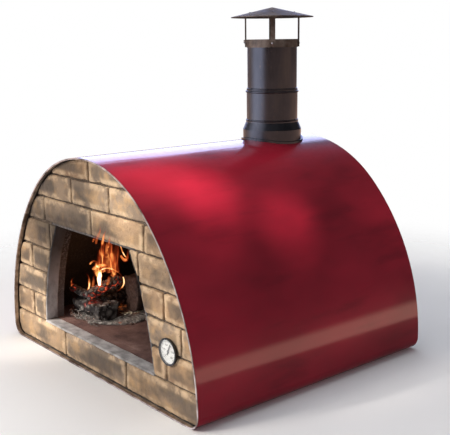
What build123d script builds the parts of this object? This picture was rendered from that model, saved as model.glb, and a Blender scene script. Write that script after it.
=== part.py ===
"""Portable wood fired oven: a barrel-shaped steel casing over a firebrick vault, a brick front and a flue.

Millimetres, +Z up. The origin is on the resting surface, under the middle of the casing.
The front is at -Y and the flue stands near the back. Each piece is written to parts/ as its own STEP file.
"""

import os
from math import asin, atan2, cos, degrees, hypot, radians, sin, sqrt

from build123d import *

# ---------------------------------------------------------------- driving dimensions

# Body: a flat base with rolled corners, side arcs and a crown arc, all tangent.
WIDTH = 800.0
DEPTH = 700.0
HEIGHT = 512.0
CORNER_RADIUS = 32.0
SHOULDER = 44.0  # degrees from the vertical at which the crown arc meets the side arcs

# Sheet steel
SHEET = 2.0
PAN = 2.0
PANEL = 1.5
TRIM = 1.4  # thickness of the edge trim
TRIM_RETURN = 9.0  # how deep its leg reaches behind the front edge
BASE_FLANGE = 70.0  # width of the casing's return under the base
REAR_FLANGE = 20.0  # width of the casing's return that the rear panel is screwed to
REAR_RECESS = 2.5  # how far the rear panel sits inside the casing's back edge

# Masonry
RECESS = 11.0  # how far the brick front sits behind the casing's front edge
BRICK_DEPTH = 34.0
JOINT = 5.0
MORTAR_RECESS = 4.0  # how far the mortar sits behind the brick faces
BED_JOINTS = (70.0, 136.5, 200.5, 264.5, 333.5, 397.5, 458.5)  # height of each bed joint's middle
HEAD_JOINTS = (  # upright joints of each course, from the base up
    (-146.0, 124.0),
    (-302.0, 281.0),
    (334.0,),
    (-294.0, 278.0),
    (-196.0, 188.0),
    (-216.0, 3.0, 214.0),
    (-76.0, 84.0),
    (4.0,),
)
SLAB = 20.0  # refractory slab that the brick slips are bedded on

# Mouth: slightly bowed sides under a flat lintel
MOUTH_CENTRE = -4.0
MOUTH_FOOT = 42.0  # height at which the mouth is widest
MOUTH_BASE_HALF = 237.0
MOUTH_SIDE_RADIUS = 560.0
MOUTH_TOP = 331.5
LINING = 3.0
SILL = 5.5
LINTEL_BEARING = 24.0
LINTEL = 4.5

# Chamber
VAULT_INSET = 40.0  # from the casing's outside to the vault's outside
VAULT = 40.0
TILE = 41.0
FLOOR_TOP = CORNER_RADIUS + TILE
RINGS = 5
CROWN_BLOCKS = 5
SIDE_BLOCKS = 3
VAULT_JOINT = 3.0
LAST_RING_START = 148.0  # the ring from here to the vault's end is centred on the flue
GAP = 0.5  # between pieces that are set in without a bed
REAR_WALL = 26.0
REAR_BRICK = 150.0
REAR_COURSE = 74.0
REAR_ROWS = 6
REAR_JOINT = 2.0

# Flue
FLUE_Y = 224.0
THROAT_RADIUS = 66.0
BOSS_RADIUS = 88.0
BOSS_TOP = 482.0
BOSS_RIM = 9.4
BOSS_NECK = 5.0  # wall of the boss below its rim
COLLAR_RADIUS = 76.0
COLLAR_TOP = 536.0
CONE_TOP = 554.5
FLASHING = 5.0  # how far the flashing reaches out from the collar, and up from the casing
PIPE_RADIUS = 66.2  # outside of the lower pipe
UPPER_RADIUS = 63.8  # outside of the upper pipe
PIPE_WALL = 1.5
PIPE_JOINT = 637.5
PIPE_TOP = 762.5
BEAD = 2.2  # radius of the beads that the pipes stand on
TOP_BEAD = 2.8  # radius of the bead under the pipe joint
SPIGOT = 40.0
CAP_RADIUS = 105.0
CAP_RIM = 819.5
CAP_APEX = 843.0
CAP_SHEET = 1.2
BAND = 20.0
BAND_WALL = 1.5
STRUT = 4.0
STRUT_WIDTH = 12.0
STRUT_ANGLE = 48.6

# Thermometer
DIAL_X = 295.5
DIAL_Z = 142.0
DIAL_CASE_RADIUS = 29.6
DIAL_RADIUS = 25.6
DIAL_DEPTH = 7.5  # how far the dial stands out from the bricks
STEM_RADIUS = 3.0
STEM = 92.0
NEEDLE_ANGLE = 25.0

# ---------------------------------------------------------------- derived dimensions

HALF = WIDTH / 2
FRONT = -DEPTH / 2
REAR = DEPTH / 2
SHOULDER_SIN = sin(radians(SHOULDER))
SHOULDER_COS = cos(radians(SHOULDER))
CROWN_RADIUS = (CORNER_RADIUS - HEIGHT + SHOULDER_COS * HALF / (1 - SHOULDER_SIN)) / (
    SHOULDER_COS - 1 + SHOULDER_COS * SHOULDER_SIN / (1 - SHOULDER_SIN)
)
SIDE_RADIUS = (HALF - CROWN_RADIUS * SHOULDER_SIN) / (1 - SHOULDER_SIN)
CROWN_CENTRE = (0.0, HEIGHT - CROWN_RADIUS)
SIDE_CENTRE = (HALF - SIDE_RADIUS, CORNER_RADIUS)
LINER_INSET = SHEET + PAN  # everything inside the casing stays this far from its outside
BRICK_FACE = FRONT + RECESS
BRICK_BACK = BRICK_FACE + BRICK_DEPTH
SLAB_BACK = BRICK_BACK + SLAB
VAULT_END = 2 * FLUE_Y - LAST_RING_START
REAR_WALL_FACE = VAULT_END + GAP
REAR_WALL_BACK = REAR_WALL_FACE + REAR_WALL
PANEL_BACK = REAR - REAR_RECESS
FLANGE_FACE = PANEL_BACK - PANEL - SHEET
CAP_SLOPE = (CAP_APEX - CAP_RIM) / CAP_RADIUS


def across(y):
    """Upright plane across the oven at depth y. Its normal faces the front, and it reads in X and Z."""
    return Plane.XZ.offset(-y)


def body_outline(inset):
    """Face of the whole body, set in from the casing's outside."""
    with BuildSketch(Plane.XY, mode=Mode.PRIVATE) as outline:
        with BuildLine():
            Line((0, inset), (HALF - CORNER_RADIUS, inset))
            CenterArc((HALF - CORNER_RADIUS, CORNER_RADIUS), CORNER_RADIUS - inset, -90, 90)
            CenterArc(SIDE_CENTRE, SIDE_RADIUS - inset, 0, 90 - SHOULDER)
            CenterArc(CROWN_CENTRE, CROWN_RADIUS - inset, 90 - SHOULDER, SHOULDER)
            mirror(about=Plane.YZ)
        make_face()
    return outline.sketch


def arch_outline(inset):
    """Face of the body above the height that the side arcs spring from."""
    with BuildSketch(Plane.XY, mode=Mode.PRIVATE) as outline:
        with BuildLine():
            Line((0, CORNER_RADIUS), (HALF - inset, CORNER_RADIUS))
            CenterArc(SIDE_CENTRE, SIDE_RADIUS - inset, 0, 90 - SHOULDER)
            CenterArc(CROWN_CENTRE, CROWN_RADIUS - inset, 90 - SHOULDER, SHOULDER)
            mirror(about=Plane.YZ)
        make_face()
    return outline.sketch


def mouth_half(z):
    """Half width of the mouth at a height."""
    return MOUTH_BASE_HALF - MOUTH_SIDE_RADIUS + sqrt(MOUTH_SIDE_RADIUS**2 - (z - MOUTH_FOOT) ** 2)


def mouth_outline(margin, bottom, top=MOUTH_TOP):
    """Face of the mouth between two heights, wider by margin on each side. It bends at the bed joints."""
    heights = [CORNER_RADIUS] + [z for z in BED_JOINTS if z < MOUTH_TOP] + [MOUTH_TOP + LINING]
    right = [(MOUTH_CENTRE + mouth_half(z) + margin, z) for z in heights]
    left = [(MOUTH_CENTRE - mouth_half(z) - margin, z) for z in reversed(heights)]
    with BuildSketch(Plane.XY, mode=Mode.PRIVATE) as outline:
        with BuildLine():
            Polyline(*right, *left, close=True)
        make_face()
        with Locations((MOUTH_CENTRE, (bottom + top) / 2)):
            Rectangle(WIDTH, top - bottom, mode=Mode.INTERSECT)
    return outline.sketch


def polar(centre, radius, angle):
    """Point at a radius and an angle in degrees from a centre."""
    return (centre[0] + radius * cos(radians(angle)), centre[1] + radius * sin(radians(angle)))


# ---------------------------------------------------------------- steel casing

with BuildPart() as casing_shell:
    with BuildSketch(across(REAR)):
        add(body_outline(0))
        add(body_outline(SHEET), mode=Mode.SUBTRACT)
        with Locations((0, SHEET / 2)):
            Rectangle(2 * (HALF - CORNER_RADIUS - BASE_FLANGE), 2 * SHEET, mode=Mode.SUBTRACT)
    extrude(amount=DEPTH - TRIM)
    with BuildSketch(across(PANEL_BACK - PANEL)):
        add(body_outline(SHEET))
        add(body_outline(SHEET + REAR_FLANGE), mode=Mode.SUBTRACT)
        with Locations((0, SHEET + REAR_FLANGE / 2)):
            Rectangle(2 * (HALF - CORNER_RADIUS), REAR_FLANGE + SHEET, mode=Mode.SUBTRACT)
    extrude(amount=SHEET)
    with Locations((0, FLUE_Y, HEIGHT)):
        Cylinder(COLLAR_RADIUS + 1.0, HEIGHT / 2, mode=Mode.SUBTRACT)

with BuildPart() as front_edge_trim:
    with BuildSketch(across(FRONT + TRIM)):
        add(body_outline(0))
        add(body_outline(SHEET + TRIM), mode=Mode.SUBTRACT)
    extrude(amount=TRIM)
    with BuildSketch(across(FRONT + TRIM_RETURN)):
        add(body_outline(SHEET))
        add(body_outline(SHEET + TRIM), mode=Mode.SUBTRACT)
    extrude(amount=TRIM_RETURN - TRIM)

with BuildPart() as base_pan:
    with BuildSketch(Plane.XY.offset(SHEET)):
        pan_front = FRONT + TRIM_RETURN + GAP
        with Locations((0, (pan_front + FLANGE_FACE) / 2)):
            Rectangle(2 * (HALF - CORNER_RADIUS), FLANGE_FACE - pan_front)
    extrude(amount=PAN)

# Screws through the rear panel into the casing's return flange
SCREW_SHANK = 2.0
SCREW_HEAD = 4.0
SCREW_HEAD_HEIGHT = 2.0
SCREW_LENGTH = 9.0
SCREW_INSET = SHEET + REAR_FLANGE / 2
right_spots = [polar(CROWN_CENTRE, CROWN_RADIUS - SCREW_INSET, 90 - angle) for angle in (8, 24, 40)]
right_spots += [polar(SIDE_CENTRE, SIDE_RADIUS - SCREW_INSET, angle) for angle in (2, 16, 32)]
SCREW_SPOTS = right_spots + [(-x, z) for x, z in right_spots]

with BuildPart() as rear_panel:
    with BuildSketch(across(PANEL_BACK)):
        add(body_outline(SHEET + GAP))
        with Locations(*SCREW_SPOTS):
            Circle(SCREW_SHANK + 0.1, mode=Mode.SUBTRACT)
    extrude(amount=PANEL)

with BuildPart() as rear_panel_screws:
    with BuildSketch(across(PANEL_BACK)):
        with Locations(*SCREW_SPOTS):
            Circle(SCREW_SHANK)
    extrude(amount=SCREW_LENGTH)
    with BuildSketch(across(PANEL_BACK + SCREW_HEAD_HEIGHT)):
        with Locations(*SCREW_SPOTS):
            Circle(SCREW_HEAD)
    extrude(amount=SCREW_HEAD_HEIGHT)
    fillet(rear_panel_screws.edges().group_by(Axis.Y)[-1], SCREW_HEAD_HEIGHT * 0.6)

with BuildPart(mode=Mode.PRIVATE) as screw_holes:
    with BuildSketch(across(PANEL_BACK)):
        with Locations(*SCREW_SPOTS):
            Circle(SCREW_SHANK + 0.1)
    extrude(amount=SCREW_LENGTH + 1)

with casing_shell:
    add(screw_holes.part, mode=Mode.SUBTRACT)


# ---------------------------------------------------------------- brick front

BUSHING_RADIUS = 5.0
with BuildPart(mode=Mode.PRIVATE) as stem_hole:
    with BuildSketch(across(SLAB_BACK)):
        with Locations((DIAL_X, DIAL_Z)):
            Circle(BUSHING_RADIUS + 0.05)
    extrude(amount=SLAB_BACK - BRICK_FACE)


def brick_course(level):
    """One course of the front: brick slips between upright joints, cut to the casing and the mouth."""
    low = (BED_JOINTS[level - 1] + JOINT / 2) if level else LINER_INSET
    high = (BED_JOINTS[level] - JOINT / 2) if level < len(BED_JOINTS) else HEIGHT
    ends = (-HALF - JOINT, *HEAD_JOINTS[level], HALF + JOINT)
    with BuildPart(mode=Mode.PRIVATE) as course:
        with BuildSketch(across(BRICK_BACK)):
            for left, right in zip(ends, ends[1:]):
                with Locations(((left + right) / 2, (low + high) / 2)):
                    Rectangle(right - left - JOINT, high - low)
            add(body_outline(LINER_INSET), mode=Mode.INTERSECT)
            add(mouth_outline(LINING, BED_JOINTS[0] - JOINT / 2), mode=Mode.SUBTRACT)
        extrude(amount=BRICK_DEPTH)
        add(stem_hole.part, mode=Mode.SUBTRACT)
    return course.part


courses = [brick_course(level) for level in range(len(HEAD_JOINTS))]

SILL_BOTTOM = BED_JOINTS[0] - JOINT / 2
LINTEL_HALF = mouth_half(MOUTH_TOP) + LINTEL_BEARING

with BuildPart() as mortar_joints:
    with BuildSketch(across(BRICK_BACK)):
        add(body_outline(LINER_INSET))
        add(mouth_outline(LINING, SILL_BOTTOM), mode=Mode.SUBTRACT)
        with Locations((MOUTH_CENTRE, MOUTH_TOP + LINTEL / 2)):
            Rectangle(2 * LINTEL_HALF, LINTEL, mode=Mode.SUBTRACT)
    extrude(amount=BRICK_DEPTH - MORTAR_RECESS)
    for course in courses:
        add(course, mode=Mode.SUBTRACT)
    add(stem_hole.part, mode=Mode.SUBTRACT)

with BuildPart() as backing_slab:
    with BuildSketch(across(SLAB_BACK)):
        add(body_outline(LINER_INSET))
        add(mouth_outline(2 * LINING, CORNER_RADIUS, MOUTH_TOP + LINING), mode=Mode.SUBTRACT)
    extrude(amount=SLAB)
    add(stem_hole.part, mode=Mode.SUBTRACT)

with BuildPart() as mouth_sill:
    with BuildSketch(across(BRICK_BACK)):
        add(mouth_outline(LINING, SILL_BOTTOM, SILL_BOTTOM + SILL))
    extrude(amount=BRICK_DEPTH)


def mouth_jamb(side):
    """Cement lining of one side of the mouth, from the sill to the lintel."""
    sill_top = SILL_BOTTOM + SILL
    with BuildPart(mode=Mode.PRIVATE) as jamb:
        with BuildSketch(across(BRICK_BACK)):
            add(mouth_outline(LINING, sill_top))
            add(mouth_outline(0, sill_top), mode=Mode.SUBTRACT)
            with Locations((MOUTH_CENTRE - side * HALF / 2, HEIGHT / 2)):
                Rectangle(HALF, HEIGHT, mode=Mode.SUBTRACT)
        extrude(amount=BRICK_DEPTH - 1)
    return jamb.part


mouth_jamb_left = mouth_jamb(-1)
mouth_jamb_right = mouth_jamb(1)

with BuildPart() as mouth_lintel:
    with BuildSketch(across(BRICK_BACK)):
        with Locations((MOUTH_CENTRE, MOUTH_TOP + LINTEL / 2)):
            Rectangle(2 * LINTEL_HALF, LINTEL)
    extrude(amount=BRICK_DEPTH - MORTAR_RECESS)


# ---------------------------------------------------------------- hearth and vault

with BuildPart() as floor_insulation_board:
    with BuildSketch(Plane.XY.offset(LINER_INSET)):
        board_front = SLAB_BACK + GAP
        with Locations((0, (board_front + REAR_WALL_BACK) / 2)):
            Rectangle(2 * (HALF - CORNER_RADIUS), REAR_WALL_BACK - board_front)
    extrude(amount=CORNER_RADIUS - LINER_INSET)

HEARTH_FRONT = SLAB_BACK + GAP
TILES = 3
TILE_GAP = 1.5
TILE_WIDTH = 2 * (HALF - VAULT_INSET - VAULT - 5.0) / TILES
TILE_LENGTH = (VAULT_END - HEARTH_FRONT) / TILES

with BuildPart() as hearth_tiles:
    with BuildSketch(Plane.XY.offset(CORNER_RADIUS)):
        with Locations((0, (HEARTH_FRONT + VAULT_END) / 2)):
            with GridLocations(TILE_WIDTH, TILE_LENGTH, TILES, TILES):
                Rectangle(TILE_WIDTH - TILE_GAP, TILE_LENGTH - TILE_GAP)
    extrude(amount=TILE)

with BuildPart() as threshold_tile:
    with BuildSketch(Plane.XY.offset(CORNER_RADIUS)):
        with Locations((MOUTH_CENTRE, (BRICK_BACK + HEARTH_FRONT) / 2)):
            Rectangle(2 * MOUTH_BASE_HALF, HEARTH_FRONT - BRICK_BACK - 1.0)
    extrude(amount=TILE)

SIDE_OUTSIDE = SIDE_RADIUS - VAULT_INSET
CROWN_OUTSIDE = CROWN_RADIUS - VAULT_INSET
LAST_RING = VAULT_END - LAST_RING_START
VAULT_START = SLAB_BACK + GAP
RING_DEPTH = (LAST_RING_START - VAULT_START) / (RINGS - 1)
RING_ENDS = [VAULT_START + i * RING_DEPTH for i in range(RINGS)] + [VAULT_END]


def vault_spans():
    """Centre, outer radius, first and last angle of each block around the vault, from right to left."""
    spring = 90 - SHOULDER
    side_step = spring / SIDE_BLOCKS
    crown_step = 2 * SHOULDER / CROWN_BLOCKS
    right = []
    for i in range(SIDE_BLOCKS):
        right.append((SIDE_CENTRE, SIDE_OUTSIDE, i * side_step, (i + 1) * side_step))
    crown = []
    for i in range(CROWN_BLOCKS):
        crown.append((CROWN_CENTRE, CROWN_OUTSIDE, spring + i * crown_step, spring + (i + 1) * crown_step))
    left = []
    for (x, z), radius, low, high in reversed(right):
        left.append(((-x, z), radius, 180 - high, 180 - low))
    return right + crown + left


def voussoir_corners(centre, outside, first, last, joint):
    """Corners of a tapered block with flat faces, half a joint short of each end angle."""
    inside = outside - VAULT
    corners = []
    for radius in (inside, outside):
        corners.append(polar(centre, radius, first + degrees(joint / 2 / radius)))
    for radius in (outside, inside):
        corners.append(polar(centre, radius, last - degrees(joint / 2 / radius)))
    return corners


# Crown blocks of the last ring whose place the flue block takes
FLUE_SPANS = [SIDE_BLOCKS + i for i in range(1, CROWN_BLOCKS - 1)]


def vault_ring(index):
    """One ring of tapered firebricks. The last one leaves room for the flue block at its crown."""
    last = index == RINGS - 1
    start = RING_ENDS[index] + (VAULT_JOINT / 2 if index else 0)
    end = RING_ENDS[index + 1] - (0 if last else VAULT_JOINT / 2)
    with BuildPart(mode=Mode.PRIVATE) as ring:
        with BuildSketch(across(end)):
            for number, span in enumerate(vault_spans()):
                if last and number in FLUE_SPANS:
                    continue
                with BuildLine():
                    Polyline(*voussoir_corners(*span, VAULT_JOINT), close=True)
                make_face()
        extrude(amount=end - start)
    return ring.part


vault_rings = [vault_ring(index) for index in range(RINGS)]

with BuildPart() as flue_block:
    with BuildSketch(across(VAULT_END)):
        spans = vault_spans()
        first, last = spans[FLUE_SPANS[0]], spans[FLUE_SPANS[-1]]
        block = [voussoir_corners(*spans[number], 0) for number in FLUE_SPANS]
        ends = voussoir_corners(first[0], first[1], first[2], last[3], VAULT_JOINT)
        inner = [ends[0], *(corners[3] for corners in block[:-1]), ends[3]]
        outer = [ends[1], *(corners[2] for corners in block[:-1]), ends[2]]
        with BuildLine():
            Polyline(*inner, *reversed(outer), close=True)
        make_face()
    extrude(amount=LAST_RING - VAULT_JOINT / 2)
    with BuildSketch(Plane.XY.offset(BOSS_TOP - VAULT)):
        with Locations((0, FLUE_Y)):
            Circle(THROAT_RADIUS + BOSS_NECK)
    extrude(amount=VAULT)
    with BuildSketch(Plane.XY.offset(BOSS_TOP - BOSS_RIM)):
        with Locations((0, FLUE_Y)):
            Circle(BOSS_RADIUS)
    extrude(amount=BOSS_RIM)
    with BuildSketch(Plane.XY.offset(CROWN_CENTRE[1])):
        with Locations((0, FLUE_Y)):
            Circle(THROAT_RADIUS)
    extrude(amount=CROWN_RADIUS, mode=Mode.SUBTRACT)

with BuildPart() as vault_mortar:
    for end in RING_ENDS[1:-1]:
        with BuildSketch(across(end + VAULT_JOINT / 2)):
            for span in vault_spans():
                with BuildLine():
                    Polyline(*voussoir_corners(*span, 0), close=True)
                make_face()
        extrude(amount=VAULT_JOINT)
    with BuildSketch(across(VAULT_END)):
        for before, after in zip(vault_spans(), vault_spans()[1:]):
            low = voussoir_corners(*before, VAULT_JOINT)
            high = voussoir_corners(*after, VAULT_JOINT)
            with BuildLine():
                Polyline(low[3], low[2], high[1], high[0], close=True)
            make_face()
    extrude(amount=VAULT_END - RING_ENDS[0])
    with Locations((0, FLUE_Y, HEIGHT)):
        Cylinder(THROAT_RADIUS + 1, HEIGHT, mode=Mode.SUBTRACT)
    add(flue_block.part, mode=Mode.SUBTRACT)
    for ring in vault_rings:
        add(ring, mode=Mode.SUBTRACT)

with BuildPart() as vault_insulation:
    with BuildSketch(across(REAR_WALL_BACK)):
        add(arch_outline(LINER_INSET))
        add(arch_outline(VAULT_INSET - 0.4), mode=Mode.SUBTRACT)
    extrude(amount=REAR_WALL_BACK - SLAB_BACK - GAP)
    with Locations((0, FLUE_Y, HEIGHT)):
        Cylinder(BOSS_RADIUS + 2, HEIGHT / 2, mode=Mode.SUBTRACT)

with BuildPart() as rear_insulation:
    with BuildSketch(across(FLANGE_FACE - GAP)):
        add(body_outline(LINER_INSET))
    extrude(amount=FLANGE_FACE - 2 * GAP - REAR_WALL_BACK)
    with BuildSketch(across(FLANGE_FACE)):
        with Locations(*SCREW_SPOTS):
            Circle(SCREW_HEAD)
    extrude(amount=SCREW_LENGTH, mode=Mode.SUBTRACT)

with BuildPart() as rear_wall_bricks:
    with BuildSketch(across(REAR_WALL_BACK)):
        for row in range(REAR_ROWS):
            shift = REAR_BRICK / 2 if row % 2 else 0
            with Locations((shift - REAR_BRICK / 2, CORNER_RADIUS + REAR_COURSE * (row + 0.5))):
                with GridLocations(REAR_BRICK, REAR_COURSE, REAR_ROWS, 1):
                    Rectangle(REAR_BRICK - REAR_JOINT, REAR_COURSE - REAR_JOINT)
        add(arch_outline(VAULT_INSET), mode=Mode.INTERSECT)
    extrude(amount=REAR_WALL)


# ---------------------------------------------------------------- flue

FLUE_AXIS = Axis((0, FLUE_Y, 0), (0, 0, 1))


def revolved(*profile):
    """Turned sheet or solid around the flue's axis, from (radius, height) corners."""
    with BuildPart(mode=Mode.PRIVATE) as turned:
        with BuildSketch(across(FLUE_Y)):
            with BuildLine():
                Polyline(*profile, close=True)
            make_face()
        revolve(axis=FLUE_AXIS)
    return turned.part


LIP = 3.0
SEAT = PIPE_RADIUS + 0.4  # bore of the collar's neck

flue_collar = revolved(
    (COLLAR_RADIUS - PIPE_WALL, BOSS_TOP),
    (BOSS_RADIUS - 2, BOSS_TOP),
    (BOSS_RADIUS - 2, BOSS_TOP + PIPE_WALL),
    (COLLAR_RADIUS, BOSS_TOP + PIPE_WALL),
    (COLLAR_RADIUS, COLLAR_TOP),
    (SEAT + PIPE_WALL, CONE_TOP),
    (SEAT + PIPE_WALL, CONE_TOP + LIP),
    (SEAT, CONE_TOP + LIP),
    (SEAT, CONE_TOP),
    (COLLAR_RADIUS - PIPE_WALL, COLLAR_TOP),
)

collar_packing = revolved(
    (COLLAR_RADIUS + 0.4, BOSS_TOP + PIPE_WALL + 0.2),
    (BOSS_RADIUS + 1, BOSS_TOP + PIPE_WALL + 0.2),
    (BOSS_RADIUS + 1, BOSS_TOP + 14),
    (COLLAR_RADIUS + 0.4, BOSS_TOP + 14),
)

with BuildPart() as flue_flashing:
    with BuildSketch(across(REAR)):
        add(body_outline(-FLASHING))
        add(body_outline(0), mode=Mode.SUBTRACT)
    extrude(amount=DEPTH)
    with BuildSketch(Plane.XY.offset(HEIGHT / 2)):
        with Locations((0, FLUE_Y)):
            Circle(COLLAR_RADIUS + FLASHING)
            Circle(COLLAR_RADIUS + 0.4, mode=Mode.SUBTRACT)
    extrude(amount=HEIGHT, mode=Mode.INTERSECT)


def beaded_pipe(outer, low, high, *beads):
    """Pipe with rolled beads that stand out around it. Each bead is (height, radius)."""
    inner = outer - PIPE_WALL
    with BuildPart(mode=Mode.PRIVATE) as pipe:
        with BuildSketch(across(FLUE_Y)):
            with BuildLine():
                Polyline((inner, low), (outer, low), (outer, high), (inner, high), close=True)
            make_face()
            for height, radius in beads:
                with Locations((outer, height)):
                    Circle(radius)
            with Locations((inner / 2, (low + high) / 2)):
                Rectangle(inner, high - low, mode=Mode.SUBTRACT)
        revolve(axis=FLUE_AXIS)
    return pipe.part


# The lower pipe stands on the collar's lip, and the upper pipe's bead rests on the lower pipe's rim.
PIPE_FOOT = CONE_TOP - 53.0
FOOT_BEAD = (CONE_TOP + LIP + BEAD, BEAD)
RIM_BEAD = (PIPE_JOINT - 1.8 * TOP_BEAD, TOP_BEAD)
RIM_INSIDE = PIPE_RADIUS - PIPE_WALL
STOP_BEAD = (PIPE_JOINT + sqrt(BEAD**2 - (RIM_INSIDE - UPPER_RADIUS) ** 2) + 0.03, BEAD)
flue_pipe_lower = beaded_pipe(PIPE_RADIUS, PIPE_FOOT, PIPE_JOINT, FOOT_BEAD, RIM_BEAD)
flue_pipe_upper = beaded_pipe(UPPER_RADIUS, PIPE_JOINT - SPIGOT, PIPE_TOP, STOP_BEAD)


# ---------------------------------------------------------------- chimney cap

BAND_INSIDE = UPPER_RADIUS + 0.4
BAND_OUTSIDE = BAND_INSIDE + BAND_WALL
BAND_LIP = 1.2
BAND_TOP = PIPE_TOP + BAND_LIP
BAND_FOOT = BAND_TOP - BAND
EAR = 9.0
EAR_HEIGHT = 8.0
EAR_GAP = 2.0
CLAMP_ANGLE = STRUT_ANGLE + 180.0 - 14.0
CLAMP_SCREW = 1.2
RIVET_SHANK = 1.6
RIVET_HEAD = 3.2
RIVET_HEAD_HEIGHT = 1.3
DOME = (RIVET_HEAD**2 + RIVET_HEAD_HEIGHT**2) / (2 * RIVET_HEAD_HEIGHT)


def about_flue(shape, *angles):
    """Copies of a shape made on the +X side, turned around the flue's axis."""
    return [shape.moved(Location((0, FLUE_Y, 0), (0, 0, angle))) for angle in angles]


STRUT_ANGLES = [STRUT_ANGLE + 90 * i for i in range(4)]

# One strut: a leg outside the band and a foot that follows the underside of the cap.
LEG_INSIDE = BAND_OUTSIDE + 0.05
LEG_OUTSIDE = LEG_INSIDE + STRUT
FOOT_REACH = 18.0


def under_cap(radius, gap):
    """Height of a line a gap below the underside of the cap's sheet."""
    return CAP_APEX - CAP_SLOPE * radius - (CAP_SHEET + gap) * hypot(1, CAP_SLOPE)


with BuildPart(mode=Mode.PRIVATE) as strut:
    with BuildSketch(Plane.XZ):
        with BuildLine():
            Polyline(
                (LEG_INSIDE, BAND_FOOT + 1),
                (LEG_OUTSIDE, BAND_FOOT + 1),
                (LEG_OUTSIDE, under_cap(LEG_OUTSIDE, 0.15)),
                (LEG_INSIDE - FOOT_REACH, under_cap(LEG_INSIDE - FOOT_REACH, 0.15)),
                (LEG_INSIDE - FOOT_REACH, under_cap(LEG_INSIDE - FOOT_REACH, 0.15 + STRUT)),
                (LEG_INSIDE, under_cap(LEG_INSIDE, 0.15 + STRUT)),
                close=True,
            )
        make_face()
    extrude(amount=STRUT_WIDTH / 2, both=True)

CAP_RIVET_RADIUS = LEG_INSIDE - FOOT_REACH / 2
RIVET_TILT = degrees(atan2(CAP_SLOPE, 1))
BAND_RIVET_Z = (BAND_FOOT + BAND_TOP) / 2


def rivet(grip, shank):
    """Domed rivet along +X with its head outside x = 0 and its shank reaching in by its grip."""
    with BuildPart(mode=Mode.PRIVATE) as made:
        with BuildSketch(Plane.XY):
            with BuildLine():
                Polyline((RIVET_HEAD_HEIGHT, 0), (-grip, 0), (-grip, shank), (0, shank), (0, RIVET_HEAD))
                CenterArc((RIVET_HEAD_HEIGHT - DOME, 0), DOME, 0, degrees(asin(RIVET_HEAD / DOME)))
            make_face()
        revolve(axis=Axis.X)
    return made.part


def band_rivet(shank):
    """Rivet through a strut and the band, on the +X side."""
    return rivet(STRUT + BAND_WALL, shank).moved(Location((LEG_OUTSIDE, 0, BAND_RIVET_Z)))


def cap_rivet(shank):
    """Rivet down through the cap and a strut's foot, on the +X side."""
    top = CAP_APEX - CAP_SLOPE * CAP_RIVET_RADIUS
    return rivet(STRUT + CAP_SHEET, shank).moved(
        Location((CAP_RIVET_RADIUS, 0, top), (0, -90 + RIVET_TILT, 0))
    )


RIVET_HOLE = RIVET_SHANK + 0.05
band_rivet_holes = about_flue(band_rivet(RIVET_HOLE), *STRUT_ANGLES)
cap_rivet_holes = about_flue(cap_rivet(RIVET_HOLE), *STRUT_ANGLES)

with BuildPart() as cap_struts:
    for piece in about_flue(strut.part, *STRUT_ANGLES):
        add(piece)
    for hole in band_rivet_holes + cap_rivet_holes:
        add(hole, mode=Mode.SUBTRACT)

with BuildPart() as cap_rivets:
    for piece in about_flue(band_rivet(RIVET_SHANK), *STRUT_ANGLES):
        add(piece)
    for piece in about_flue(cap_rivet(RIVET_SHANK), *STRUT_ANGLES):
        add(piece)

with BuildPart() as cap_cone:
    add(
        revolved(
            (0, CAP_APEX),
            (CAP_RADIUS, CAP_RIM),
            (CAP_RADIUS, CAP_RIM - CAP_SHEET * 1.6),
            (CAP_RADIUS - CAP_SHEET, CAP_RIM - CAP_SHEET * 1.6),
            (CAP_RADIUS - CAP_SHEET, under_cap(CAP_RADIUS - CAP_SHEET, 0)),
            (0, under_cap(0, 0)),
        )
    )
    for hole in cap_rivet_holes:
        add(hole, mode=Mode.SUBTRACT)

# Clamp band around the top of the pipe, split between two ears that a screw draws together.
EAR_OFFSET = (EAR_GAP + BAND_WALL) / 2
EAR_ROOT = 1.4  # how far the ears reach into the band
CLAMP_X = BAND_OUTSIDE + EAR * 0.6
CLAMP_Z = BAND_TOP - 1 - EAR_HEIGHT / 2
CLAMP_GRIP = EAR_GAP / 2 + BAND_WALL
CLAMP_HEAD = 2.4
CLAMP_HEAD_HEIGHT = 1.8
CLAMP_NUT = 2.7
CLAMP_NUT_HEIGHT = 2.0
CLAMP_TAIL = 3.5  # how far the screw stands out past the ears

with BuildPart(mode=Mode.PRIVATE) as clamp_ears:
    with BuildSketch(Plane.XY.offset(BAND_TOP - 1 - EAR_HEIGHT)):
        with Locations((BAND_OUTSIDE + (EAR - EAR_ROOT) / 2, 0)):
            with GridLocations(1, 2 * EAR_OFFSET, 1, 2):
                Rectangle(EAR + EAR_ROOT, BAND_WALL)
    extrude(amount=EAR_HEIGHT)
    with BuildSketch(Plane.XZ):
        with Locations((CLAMP_X, CLAMP_Z)):
            Circle(CLAMP_SCREW + 0.1)
    extrude(amount=2 * EAR, both=True, mode=Mode.SUBTRACT)

with BuildPart(mode=Mode.PRIVATE) as clamp_slot:
    with Locations((BAND_OUTSIDE, 0, BAND_RIVET_Z)):
        Box(4 * BAND_WALL, EAR_GAP, 2 * BAND)

with BuildPart() as cap_band:
    add(
        revolved(
            (BAND_INSIDE, BAND_FOOT),
            (BAND_OUTSIDE, BAND_FOOT),
            (BAND_OUTSIDE, BAND_TOP),
            (UPPER_RADIUS - PIPE_WALL, BAND_TOP),
            (UPPER_RADIUS - PIPE_WALL, PIPE_TOP),
            (BAND_INSIDE, PIPE_TOP),
        )
    )
    for piece in about_flue(clamp_slot.part, CLAMP_ANGLE):
        add(piece, mode=Mode.SUBTRACT)
    for piece in about_flue(clamp_ears.part, CLAMP_ANGLE):
        add(piece)
    for hole in band_rivet_holes:
        add(hole, mode=Mode.SUBTRACT)

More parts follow.
